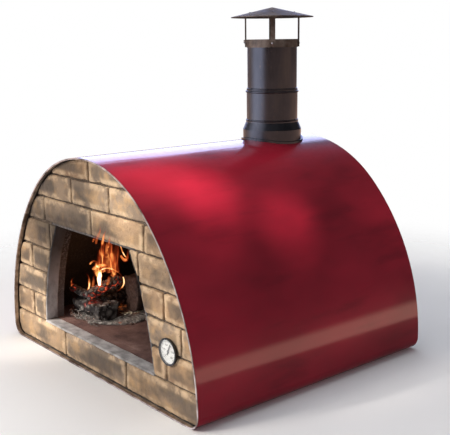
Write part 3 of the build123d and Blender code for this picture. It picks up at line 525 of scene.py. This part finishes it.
def rebuilt(name, node, material, voxel, rounds, apart=0.0):
    """Stands a copy with even, rounded faces in for a CAD node. Returns its mesh, for noise to shape."""
    piece = new_piece(name, nodes[node].data.copy(), material)
    if apart:
        slide_apart(piece.data, apart)
    remesh = piece.modifiers.new("even", "REMESH")
    remesh.mode = "VOXEL"
    remesh.voxel_size = voxel
    apply_modifiers(piece)
    smooth = piece.modifiers.new("worn", "SMOOTH")
    smooth.factor = 0.5
    smooth.iterations = rounds
    apply_modifiers(piece)
    if apart:
        slide_apart(piece.data, -apart)
    piece.data.materials.clear()
    piece.data.materials.append(material)
    piece.data.shade_smooth()
    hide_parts(node)
    return piece.data


def points(mesh, kind="co"):
    """One row for each vertex: its place, or its normal."""
    vectors = np.empty(len(mesh.vertices) * 3, np.float32)
    mesh.vertices.foreach_get(kind, vectors)
    return vectors.reshape(-1, 3)


def normals(mesh):
    return points(mesh, "normal")


def place(mesh, co):
    """Moves the vertices to these places."""
    mesh.vertices.foreach_set("co", co.astype(np.float32).ravel())
    mesh.update()


def field(co, size, seed, octaves):
    """Fractal noise at each point, about -1 to 1, with features of about this size in metres."""
    shift = Vector((seed * 7.31, seed * 3.17, seed * 5.73))
    scale = 1 / size
    return np.array([noise.fractal(Vector(p) * scale + shift, 0.9, 2.1, octaves) for p in co], np.float32)


def ripple(co, size, seed, octaves, height):
    """Fractal noise at each point, of this height in millimetres."""
    return field(co, size, seed, octaves) * height * MM


def crack_field(co, size, seed):
    """0 in the cracks between cells of about this size, 1 in the middle of a cell."""
    shift = Vector((seed * 2.71, seed * 9.13, seed * 4.57))
    result = []
    for p in co:
        near = noise.voronoi(Vector(p / size) + shift)[0]
        result.append(min(1.0, (near[1] - near[0]) * 2.2))
    return np.array(result, np.float32)


def store(mesh, name, values):
    """Keeps a number for each vertex, which a material reads by its name."""
    layer = mesh.attributes.new(name, "FLOAT", "POINT")
    layer.data.foreach_set("value", np.asarray(values, np.float32))


def islands(mesh):
    """Number of the loose solid that each vertex belongs to."""
    parent = np.arange(len(mesh.vertices))
    edges = np.empty(len(mesh.edges) * 2, np.int32)
    mesh.edges.foreach_get("vertices", edges)
    edges = edges.reshape(-1, 2)
    while True:
        low = np.minimum(parent[edges[:, 0]], parent[edges[:, 1]])
        before = parent.copy()
        np.minimum.at(parent, edges[:, 0], low)
        np.minimum.at(parent, edges[:, 1], low)
        parent = parent[parent]
        if (before == parent).all():
            return np.unique(parent, return_inverse=True)[1]


def smoothstep(values, low, high):
    """0 at low, 1 at high, smooth between them."""
    t = np.clip((values - low) / (high - low), 0.0, 1.0)
    return t * t * (3 - 2 * t)


# ---------------------------------------------------------------- brick front

MOUTH_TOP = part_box("mouth_jamb_right")[1].z
SMOKE_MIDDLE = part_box("mouth_jamb_left")[0].x * 0.55  # the smoke leaves the mouth over the fire
COURSES = 8
BRICK_VOXEL = 2.6 * MM
BRICK_ROUNDS = 10
BRICK_SLIDE = 12 * MM  # wider than the voxels, so that the remesh doesn't join two bricks
BULGE = 1.6 * MM
WORN_RIM = (0.003, 0.024)  # how far in from its edges a brick's face starts and stops rising; the painted rim highlight and middle shade follow it
SOOTIEST = 0.85


def lay_bricks(material):
    """Courses of worn bricks. Each brick has its own tone and stands a little proud or back."""
    dice = random.Random(11)
    for number in range(1, COURSES + 1):
        node = f"brick_course_{number}"
        name = f"bricks_{number}"
        mesh = rebuilt(name, node, material, BRICK_VOXEL, BRICK_ROUNDS, BRICK_SLIDE)
        co = points(mesh)
        group = islands(mesh)
        tone = np.zeros(len(co))
        middle = np.zeros(len(co))
        shift = np.zeros_like(co)
        for brick in range(group.max() + 1):
            own = group == brick
            low, high = co[own].min(0), co[own].max(0)
            inward = np.minimum(co[own] - low, high - co[own])
            middle[own] = smoothstep(np.minimum(inward[:, 0], inward[:, 2]), *WORN_RIM)
            tone[own] = dice.random()
            shift[own, 1] = dice.uniform(-1.0, 0.6) * MM
        wave = ripple(co, 0.045, number, 3, 1.4)
        pits = ripple(co, 0.011, number + 20, 4, 0.75)
        sideways = ripple(co, 0.03, number + 40, 2, 1.2)
        co = co + normals(mesh) * (wave + pits)[:, None] + shift
        co[:, 1] -= middle * BULGE
        co[:, 0] += sideways
        co[:, 2] += ripple(co, 0.035, number + 60, 2, 1.0)
        above = smoothstep(co[:, 2], MOUTH_TOP - 0.15, MOUTH_TOP + 0.02)
        near = smoothstep(np.abs(co[:, 0] - SMOKE_MIDDLE), 0.26, 0.05)
        lip = smoothstep(co[:, 2], MOUTH_TOP + 0.06, MOUTH_TOP)
        place(mesh, co)
        store(mesh, "tone", tone)
        store(mesh, "middle", middle)
        store(mesh, "soot", SOOTIEST * above * near * lip)


def fill_joints(material):
    """Gritty mortar between the bricks."""
    mesh = rebuilt("pointing", "mortar_joints", material, 2.4 * MM, 2)
    co = points(mesh)
    place(mesh, co + normals(mesh) * ripple(co, 0.012, 90, 4, 0.9)[:, None])


def trowel(name, node, material, seed, voxel):
    """Slightly uneven cement around the mouth."""
    mesh = rebuilt(name, node, material, voxel, 3)
    co = points(mesh)
    bumps = ripple(co, 0.05, seed, 3, 0.9) + ripple(co, 0.01, seed + 1, 3, 0.36)
    place(mesh, co + normals(mesh) * bumps[:, None])


# ---------------------------------------------------------------- fire


# Glowing places in metres: where, and how far the glow reaches
HOT_SPOTS = (
    ((-0.162, -0.235, 0.158), 0.050),
    ((-0.264, -0.246, 0.134), 0.034),
    ((-0.170, -0.262, 0.130), 0.022),
    ((-0.150, -0.180, 0.150), 0.030),
)
LOG_VOXEL = 2.6 * MM
LOG_ROUNDS = 8
CHARCOAL_LUMPS = 150
BANKED_LUMPS = 120
CLINKER_LUMPS = 110


def make_log(name, node, material, seed, crack_size=0.018, crack_depth=4 * MM):
    """Firewood shaped from its CAD prism: knobbly, cracked, and glowing near the hot spots."""
    mesh = rebuilt(name, node, material, LOG_VOXEL, LOG_ROUNDS)
    co = points(mesh)
    crack = crack_field(co, crack_size, seed)
    lumps = ripple(co, 0.05, seed, 3, 4) + ripple(co, 0.012, seed + 3, 4, 1.6)
    co = co + normals(mesh) * (lumps - (1 - crack) ** 2 * crack_depth)[:, None]
    place(mesh, co)
    heat = np.zeros(len(co))
    for spot, glow in HOT_SPOTS:
        reach = np.linalg.norm(co - np.array(spot), axis=1) + field(co, 0.03, seed + 5, 2) * glow * 0.3
        heat = np.maximum(heat, smoothstep(reach, glow, glow * 0.4))
    store(mesh, "crack", crack)
    store(mesh, "hotness", heat)


def add_lump(builder, centre, size, seed):
    """One broken lump, added to a bmesh."""
    made = bmesh.ops.create_icosphere(builder, subdivisions=2, radius=1.0)
    for vertex in made["verts"]:
        rough = 0.72 + 0.55 * noise.noise(vertex.co * 1.4 + Vector((seed, seed * 2, 0)))
        vertex.co = centre + vertex.co * size * rough


def scatter_lumps(name, material, spots, smallest, largest, squash):
    """A heap of broken lumps at these places on the hearth, in one piece. Lump sizes are in millimetres."""
    dice = random.Random(name)
    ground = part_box("ash_bed")[0].z
    builder = bmesh.new()
    for x, y, lift in spots:
        size = dice.uniform(smallest, largest) * MM
        shape = Vector((size * 1.3, size, size * squash))
        add_lump(builder, Vector((x, y, ground + lift + size * 0.6)), shape, dice.random() * 50)
    mesh = bpy.data.meshes.new(name)
    builder.to_mesh(mesh)
    builder.free()
    mesh.shade_smooth()
    store(mesh, "hotness", np.full(len(mesh.vertices), 0.2))
    new_piece(name, mesh, material)


def scatter_embers(ash, crust):
    """Charcoal around the logs, ash banked against the front log, and pale clinker beside the split log."""
    dice = random.Random(5)
    low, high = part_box("ash_bed")
    centre, half = (low + high) / 2, (high - low) / 2
    charcoal = []
    for _ in range(CHARCOAL_LUMPS):
        angle = dice.uniform(0, 2 * math.pi)
        reach = dice.uniform(0.45, 1.0)
        x = centre.x + math.cos(angle) * reach * half.x
        y = centre.y + math.sin(angle) * reach * half.y
        charcoal.append((x, y, 0))
    scatter_lumps("ember_lumps", ash, charcoal, 2.5, 7, 0.8)

    low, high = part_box("ember_log")
    banked = []
    for _ in range(BANKED_LUMPS):
        along = dice.random()
        lift = dice.uniform(0, 0.034) * dice.random()
        x = low.x + along * (high.x - low.x + 0.01)
        y = low.y - dice.uniform(0, 6) * MM + lift * 0.2
        banked.append((x, y, lift))
    scatter_lumps("banked_ash", ash, banked, 1.5, 4.0, 0.5)

    low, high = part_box("split_log")
    rubble = []
    for _ in range(CLINKER_LUMPS):
        along = dice.random()
        x = high.x - 0.034 + dice.uniform(-9, 9) * MM
        y = low.y - 0.022 + along * 0.075
        rubble.append((x, y, 0.007))
    scatter_lumps("clinker_lumps", crust, rubble, 2.0, 4.8, 0.8)


def heap_ash(material):
    """Uneven bed of ash under the fire, with warm places."""
    mesh = rebuilt("ash_heap", "ash_bed", material, 2.5 * MM, 2)
    co = points(mesh)
    up = np.maximum(normals(mesh)[:, 2], 0.0)
    co[:, 2] += up * (0.5 + 0.5 * field(co, 0.02, 3, 4)) * 5 * MM
    place(mesh, co)
    store(mesh, "hotness", smoothstep(field(co, 0.05, 8, 2), 0.1, 0.7) * 0.6)


# Flames in millimetres: root, two points that bend the flame, tip, width, and how hot it burns
COLUMNS = (
    ((-124, -232, 205), (-148, -234, 240), (-104, -236, 262), (-122, -238, 318), 32, 0.17),
    ((-102, -228, 208), (-112, -230, 245), (-80, -232, 275), (-98, -234, 335), 46, 0.22),
    ((-70, -226, 214), (-86, -228, 250), (-44, -230, 280), (-62, -232, 330), 28, 0.15),
    ((-150, -232, 188), (-170, -234, 206), (-128, -236, 224), (-140, -238, 262), 30, 0.34),
    ((-92, -230, 200), (-60, -232, 222), (-90, -234, 240), (-66, -236, 268), 26, 0.30),
    ((-44, -232, 262), (-20, -232, 244), (-8, -234, 262), (-6, -236, 300), 16, 0.13),
    ((-122, -240, 216), (-112, -240, 240), (-120, -240, 262), (-116, -240, 312), 5, 0.34),
    ((-76, -240, 226), (-86, -240, 252), (-62, -240, 268), (-70, -240, 310), 5, 0.30),
)
LICKS = (
    ((-138, -238, 168), (-144, -238, 190), (-126, -240, 204), (-122, -240, 224), 19, 0.95),
    ((-172, -236, 202), (-140, -238, 222), (-108, -238, 232), (-66, -236, 224), 19, 0.46),
    ((-134, -238, 206), (-98, -238, 230), (-48, -236, 226), (-28, -234, 204), 7, 0.50),
    ((-32, -236, 212), (-20, -236, 196), (-40, -236, 180), (-64, -238, 166), 7, 0.44),
    ((-206, -238, 136), (-178, -240, 156), (-182, -240, 176), (-198, -240, 190), 9, 0.40),
    ((-176, -238, 150), (-160, -240, 166), (-172, -240, 184), (-152, -240, 196), 13, 0.30),
    ((-186, -236, 212), (-168, -238, 228), (-156, -238, 230), (-140, -238, 222), 10, 0.28),
    ((-40, -234, 288), (-32, -234, 268), (-16, -234, 258), (-2, -234, 266), 6, 0.42),
    ((-262, -250, 140), (-252, -252, 150), (-262, -252, 158), (-246, -252, 168), 8, 0.20),
    ((-108, -236, 176), (-92, -238, 184), (-100, -238, 198), (-80, -238, 210), 15, 0.30),
)
OVER_LINTEL = (
    ((28, -341, 322), (34, -344, 340), (60, -345, 352), (58, -346, 374), 12, 0.28),
    ((52, -341, 322), (64, -344, 338), (68, -345, 352), (84, -346, 366), 10, 0.22),
    ((78, -341, 322), (92, -344, 334), (88, -345, 346), (104, -346, 360), 9, 0.18),
    ((14, -341, 324), (24, -344, 332), (30, -345, 338), (36, -346, 350), 8, 0.20),
)
FLAMES = {"flame_columns": COLUMNS, "flame_licks": LICKS, "flames_over_lintel": OVER_LINTEL}
FLAME_VALUES = ("rise", "body", "hotness")
FLAME_ROWS, FLAME_COLUMNS = 34, 9
TOWARDS_FRONT = Vector((0.77, -0.64, 0.0))  # the way that the flames' broad sides face


def along_curve(corners, t):
    """Point at t along the Bezier curve of four points."""
    a, b, c, d = (Vector(corner) * MM for corner in corners)
    return a * (1 - t) ** 3 + b * 3 * t * (1 - t) ** 2 + c * 3 * t * t * (1 - t) + d * t ** 3


def lick(builder, corners, width, heat, facing, seed):
    """One flame, added to a bmesh: a thin bowed sheet along a curve, with the values its material reads."""
    layers = [builder.verts.layers.float[name] for name in FLAME_VALUES]
    grid = []
    for row in range(FLAME_ROWS):
        t = row / (FLAME_ROWS - 1)
        centre = along_curve(corners, t)
        ahead = along_curve(corners, t + 0.01) - centre
        side = ahead.cross(facing).normalized()
        swell = math.sin(math.pi * min(1.0, t * 0.8 + 0.14)) ** 0.8 * (1 - t) ** 0.5
        line = []
        for column in range(FLAME_COLUMNS):
            s = column / (FLAME_COLUMNS - 1) * 2 - 1
            wobble = 0.3 * width * noise.noise(Vector((s * 1.5, t * 5, seed))) * t
            bow = (1 - s * s) * width * 0.25 * swell
            vertex = builder.verts.new(centre + side * (s * width / 2 * swell + wobble) + facing * bow)
            for layer, value in zip(layers, (t, 1 - abs(s), heat)):
                vertex[layer] = value
            line.append(vertex)
        grid.append(line)
    for lower, upper in zip(grid, grid[1:]):
        for i in range(FLAME_COLUMNS - 1):
            builder.faces.new((lower[i], lower[i + 1], upper[i + 1], upper[i]))


def light_fire(material):
    """All flames. The tall ones have a second sheet across the first, which gives them body."""
    aside = Vector((-TOWARDS_FRONT.y, TOWARDS_FRONT.x, 0))
    for name, flames in FLAMES.items():
        builder = bmesh.new()
        for layer in FLAME_VALUES:
            builder.verts.layers.float.new(layer)
        for number, (*corners, width, heat) in enumerate(flames):
            turned = TOWARDS_FRONT + aside * 0.3 * math.sin(number * 2.3)
            lick(builder, corners, width * MM, heat, turned, number * 1.3)
            if name == "flame_columns":
                lick(builder, corners, width * MM * 0.7, heat, aside, number * 2.1)
        mesh = bpy.data.meshes.new(name)
        builder.to_mesh(mesh)
        builder.free()
        mesh.shade_smooth()
        new_piece(name, mesh, material)


# ---------------------------------------------------------------- thermometer

DIAL_LOW, DIAL_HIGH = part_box("thermometer_dial")
DIAL_CENTRE = (DIAL_LOW + DIAL_HIGH) / 2
DIAL_FACE = DIAL_LOW.y
DIAL_SWEEP = math.radians(270)
DIAL_STEPS = 50
STEPS_TO_LONG_MARK = 5
DIAL_TOP_READING = 500
DIAL_NUMBERS = 6
PRINT = 0.12 * MM  # thickness of the dial's print


def dial_point(angle, radius, lift):
    """Point on the dial. The angle runs clockwise from the top, as seen from the front."""
    x = DIAL_CENTRE.x + radius * math.sin(angle)
    z = DIAL_CENTRE.z + radius * math.cos(angle)
    return Vector((x, DIAL_FACE - lift, z))


def dial_marks(material):
    """Scale lines and plain numbers, printed as a thin layer on the dial."""
    builder = bmesh.new()
    radius = (DIAL_HIGH.x - DIAL_LOW.x) / 2
    for step in range(DIAL_STEPS + 1):
        angle = -DIAL_SWEEP / 2 + DIAL_SWEEP * step / DIAL_STEPS
        inner, half = (0.76, 0.45 * MM) if step % STEPS_TO_LONG_MARK == 0 else (0.84, 0.22 * MM)
        across = Vector((math.cos(angle), 0, -math.sin(angle))) * half
        foot, head = dial_point(angle, radius * inner, 0), dial_point(angle, radius * 0.93, 0)
        ring = [foot - across, foot + across, head + across, head - across]
        front = [builder.verts.new(p + Vector((0, -PRINT, 0))) for p in ring]
        back = [builder.verts.new(p) for p in ring]
        builder.faces.new(front)
        for i in range(4):
            builder.faces.new((back[i], back[(i + 1) % 4], front[(i + 1) % 4], front[i]))
    mesh = bpy.data.meshes.new("dial_scale")
    bmesh.ops.recalc_face_normals(builder, faces=builder.faces)
    builder.to_mesh(mesh)
    builder.free()
    new_piece("dial_scale", mesh, material, "thermometer")
    last = DIAL_NUMBERS - 1
    for step in range(DIAL_NUMBERS):
        angle = -DIAL_SWEEP / 2 + DIAL_SWEEP * step / last
        text = bpy.data.curves.new(f"number_{step}", "FONT")
        text.body = str(DIAL_TOP_READING * step // last)
        text.size = 6.2 * MM
        text.extrude = PRINT / 2
        text.align_x = "CENTER"
        text.align_y = "CENTER"
        holder = bpy.data.objects.new(f"number_{step}", text)
        scene.collection.objects.link(holder)
        depsgraph = bpy.context.evaluated_depsgraph_get()
        mesh = bpy.data.meshes.new_from_object(holder.evaluated_get(depsgraph))
        bpy.data.objects.remove(holder)
        middle = dial_point(angle, radius * 0.58, PRINT / 2)
        mesh.transform(Matrix.Translation(middle) @ Matrix.Rotation(math.radians(90), 4, "X"))
        new_piece(f"dial_number_{step}", mesh, material, "thermometer")


# ---------------------------------------------------------------- finishes of the CAD pieces


def finish_cad(paint):
    """Gives each CAD piece its material, by the start of its name."""
    for name, node in nodes.items():
        for start, material in paint.items():
            if name.startswith(start):
                node.data.materials.clear()
                node.data.materials.append(material)
                break
        else:
            raise ValueError(f"no finish for {name}")


# ---------------------------------------------------------------- stage, lights and camera


FLOOR_HALF = 2.5
FLOOR_DROP = 0.5 * MM  # keeps the floor clear of the oven's underside


def lay_floor():
    """Seamless pale floor."""
    half = FLOOR_HALF
    corners = [(-half, -half, 0), (half, -half, 0), (half, half, 0), (-half, half, 0)]
    floor_mesh = bpy.data.meshes.new("floor")
    floor_mesh.from_pydata(corners, [], [(0, 1, 2, 3)])
    floor = bpy.data.objects.new("floor", floor_mesh)
    scene.collection.objects.link(floor)
    floor.location.z = -FLOOR_DROP
    floor.visible_glossy = False
    floor.data.materials.append(pale_floor())


def paint_sky():
    """White behind the oven, soft grey light, and in reflections a dark yard under a bright sky."""
    world = bpy.data.worlds.new("studio")
    world.use_nodes = True
    scene.world = world
    sky = Pattern(world.node_tree, "Generated")
    rays = sky.tree.nodes.new("ShaderNodeLightPath")
    height = sky.axis("Z")
    # Sunlit ground low down, which the casing's foot mirrors
    ground = sky.times(sky.span(height, -0.205, -0.175), sky.span(height, -0.050, -0.110))
    mirrored = sky.blend(ground, (0.045, 0.040, 0.042), (1.55, 0.95, 0.72))
    # Band of blue sky behind the oven, ragged at its upper edge, which the crown mirrors
    haze = sky.noise(0.14, detail=4.0, vector=sky.stretch(1.0, 1.0, 4.0))
    ragged = sky.plus(height, sky.times(haze, 0.34))
    behind = sky.times(sky.facing(141, 34, 16), sky.span(ragged, 0.63, 0.54))
    behind = sky.times(behind, sky.span(height, -0.02, 0.06))
    mirrored = sky.blend(behind, mirrored, (1.75, 1.95, 3.2))
    # Pale sky ahead of the oven, which the stove pipe mirrors
    ahead = sky.times(sky.facing(-114, 40, 12), sky.span(height, 0.75, 0.45))
    mirrored = sky.blend(ahead, mirrored, (1.9, 1.9, 2.2))
    light = sky.blend(rays.outputs["Is Glossy Ray"], (0.30, 0.30, 0.32), mirrored)
    shown = sky.blend(rays.outputs["Is Camera Ray"], light, (1.0, 1.0, 1.0))
    sky.plug(sky.tree.nodes["Background"].inputs["Color"], shown)


def hang(light, at, target=None, seen=False, mirrored=False):
    """Puts a light in its place, aimed at its target."""
    holder = bpy.data.objects.new(light.name, light)
    scene.collection.objects.link(holder)
    holder.location = at
    if target:
        holder.rotation_euler = (Vector(target) - Vector(at)).to_track_quat("-Z", "Y").to_euler()
    holder.visible_camera = seen
    holder.visible_glossy = mirrored


def softbox(name, at, target, width, height, power, colour):
    """Rectangular light that lights surfaces but isn't seen, nor mirrored in them."""
    light = bpy.data.lights.new(name, "AREA")
    light.shape = "RECTANGLE"
    light.size = width
    light.size_y = height
    light.energy = power
    light.color = colour
    hang(light, at, target)


def dapple(name, at, target, spread, power):
    """Soft spot of sunlight."""
    light = bpy.data.lights.new(name, "SPOT")
    light.spot_size = math.radians(spread)
    light.spot_blend = 1.0
    light.shadow_soft_size = 0.08
    light.energy = power
    light.color = (1.0, 0.93, 0.84)
    hang(light, at, target, seen=True)


def fire_light():
    """Small warm light in the heart of the fire."""
    low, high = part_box("burning_log")
    light = bpy.data.lights.new("fire_glow", "POINT")
    light.energy = 0.15
    light.color = (1.0, 0.36, 0.10)
    light.shadow_soft_size = 0.04
    hang(light, ((low.x + high.x) / 2, (low.y + high.y) / 2 - 0.02, high.z + 0.03), mirrored=True)


# The photo's viewpoint: place in metres, then yaw, pitch and roll in degrees
CAMERA_AT = (1.6056, -1.2754, 0.7592)
CAMERA_TURN = (50.291, 13.432, -0.758)
SENSOR_WIDTH, FOCAL_LENGTH = 36.0, 66.44
SHIFT_UP = 0.05


def camera():
    """Camera at the photo's viewing angle, with the photo's slight roll."""
    yaw, pitch, roll = (math.radians(angle) for angle in CAMERA_TURN)
    right = Vector((math.cos(yaw), math.sin(yaw), 0))
    level = Vector((-math.sin(yaw), math.cos(yaw), 0)) * math.cos(pitch)
    forward = level - Vector((0, 0, math.sin(pitch)))
    up = right.cross(forward)
    right, up = right * math.cos(roll) + up * math.sin(roll), up * math.cos(roll) - right * math.sin(roll)
    data = bpy.data.cameras.new("camera")
    data.sensor_width = SENSOR_WIDTH
    data.lens = FOCAL_LENGTH
    data.shift_y = SHIFT_UP
    holder = bpy.data.objects.new("camera", data)
    scene.collection.objects.link(holder)
    turn = Matrix((right, up, -forward)).transposed()
    holder.matrix_world = Matrix.Translation(CAMERA_AT) @ turn.to_4x4()
    scene.camera = holder


# ---------------------------------------------------------------- assembly

brick_finish = face_brick()
mortar_finish = mortar()
cement_finish = cement()
# Firebrick near-black all over and darker still up high: soot, deepened as painted shade of the dark
# chamber
firebrick_finish = refractory("firebrick", (0.036, 0.026, 0.022), (0.007, 0.006, 0.006), 0.20)
slab_finish = refractory("backing_slab", (0.16, 0.148, 0.150), (0.012, 0.011, 0.011), 0.36)
black_finish = satin_black()
steel_finish = plated("bright_steel", (0.60, 0.59, 0.57), 0.28)
pipe_finish = stove_pipe()
cap_finish = cap_sheet()
char_finish = charred_wood()
ash_finish = loose_ash()
blanket_finish = blanket()
hearth_finish = hearth()
pan_finish = dark_sheet()
split_finish = split_wood()

finish_cad({
    "casing_shell": red_enamel(),
    "front_edge_trim": edge_steel(),
    "base_pan": pan_finish,
    "mouth_lintel": pan_finish,
    "rear_panel_screws": steel_finish,
    "rear_panel": galvanised(),
    "mortar": mortar_finish,
    "vault_mortar": firebrick_finish,
    "backing_slab": slab_finish,
    "mouth": cement_finish,
    "floor_insulation": blanket_finish,
    "hearth": hearth_finish,
    "threshold": hearth_finish,
    "flue_block": firebrick_finish,
    "vault_insulation": blanket_finish,
    "rear_insulation": blanket_finish,
    "rear_wall": firebrick_finish,
    "vault_ring": firebrick_finish,
    "collar_packing": blanket_finish,
    "flue": pipe_finish,
    "cap_clamp": steel_finish,
    "cap_rivets": steel_finish,
    "cap": cap_finish,
    "thermometer_glass": dial_glass(),
    "thermometer_dial": dial_white(),
    "thermometer_needle": black_finish,
    "thermometer_stem": steel_finish,
    "thermometer_bushing": plated("brass_fitting", (0.72, 0.52, 0.24), 0.3),
    "thermometer_nut": plated("brass_nut", (0.72, 0.52, 0.24), 0.35),
    "thermometer": black_finish,
    "needle_spindle": steel_finish,
    "bimetal_coil": steel_finish,
    "brick_course": brick_finish,
    "ash_bed": ash_finish,
    "split_log": split_finish,
    "charred_log": char_finish,
    "burning_log": char_finish,
    "ember_log": char_finish,
    "branch_log": char_finish,
})

lay_bricks(brick_finish)
fill_joints(mortar_finish)
trowel("jamb_left", "mouth_jamb_left", cement_finish, 3, 1.5 * MM)
trowel("jamb_right", "mouth_jamb_right", cement_finish, 7, 1.5 * MM)
trowel("sill", "mouth_sill", cement_finish, 12, 2.0 * MM)
make_log("log_split", "split_log", split_finish, 2, 0.05, 1.5 * MM)
make_log("log_charred", "charred_log", char_finish, 4)
make_log("log_ember", "ember_log", char_finish, 5, 0.024)
make_log("log_burning", "burning_log", char_finish, 6, 0.013)
make_log("log_branch", "branch_log", char_finish, 7, 0.014)
heap_ash(ash_finish)
scatter_embers(ash_finish, clinker())
light_fire(flame())
dial_marks(black_finish)

lay_floor()
paint_sky()
# Each has its place, what it is aimed at, then a softbox's width, height, power and colour,
# or a sun patch's width in degrees and its power
softbox("key", (-0.9, -3.0, 2.4), (0, -0.3, 0.3), 0.9, 0.9, 66, (1.0, 0.94, 0.86))
softbox("low_sun", (-1.7, -1.7, 0.45), (-0.25, -0.35, 0.15), 0.6, 0.6, 12, (1.0, 0.82, 0.62))
softbox("overhead", (-0.6, 0.0, 3.6), (0, 0, 0.3), 3.0, 3.0, 66, (0.95, 0.96, 1.0))
dapple("dapple_front", (1.6, -0.8, 2.6), (0.217, -0.163, 0.435), 2.7, 1000)
dapple("dapple_middle", (1.9, 0.2, 2.4), (0.289, 0.009, 0.361), 2.6, 900)
dapple("dapple_low", (2.0, -0.5, 2.3), (0.288, -0.194, 0.363), 3.0, 110)
dapple("dapple_back", (1.9, 0.9, 2.4), (0.301, 0.327, 0.346), 4.0, 130)
dapple("dapple_top", (0.9, -0.9, 2.8), (0.130, -0.25, 0.485), 6, 420)
dapple("hearth_sun", (0.6, -2.4, 0.9), (-0.145, -0.205, 0.085), 3.6, 330)
dapple("brick_sun_top", (-0.7, -2.6, 1.7), (0.139, -0.34, 0.437), 3.6, 420)
dapple("brick_sun_lintel", (-0.7, -2.6, 1.7), (0.115, -0.34, 0.374), 2.6, 380)
dapple("brick_sun_left", (-1.2, -2.4, 1.2), (-0.310, -0.34, 0.180), 5.0, 260)
dapple("brick_sun_foot", (-0.9, -2.5, 1.2), (-0.260, -0.34, 0.050), 5.0, 420)
dapple("brick_sun_right", (-0.7, -2.6, 1.7), (0.290, -0.34, 0.240), 3.8, 300)
dapple("brick_sun_corner", (-0.4, -2.6, 1.5), (0.340, -0.34, 0.040), 3.2, 260)
fire_light()
camera()
scene.view_settings.view_transform = "Standard"
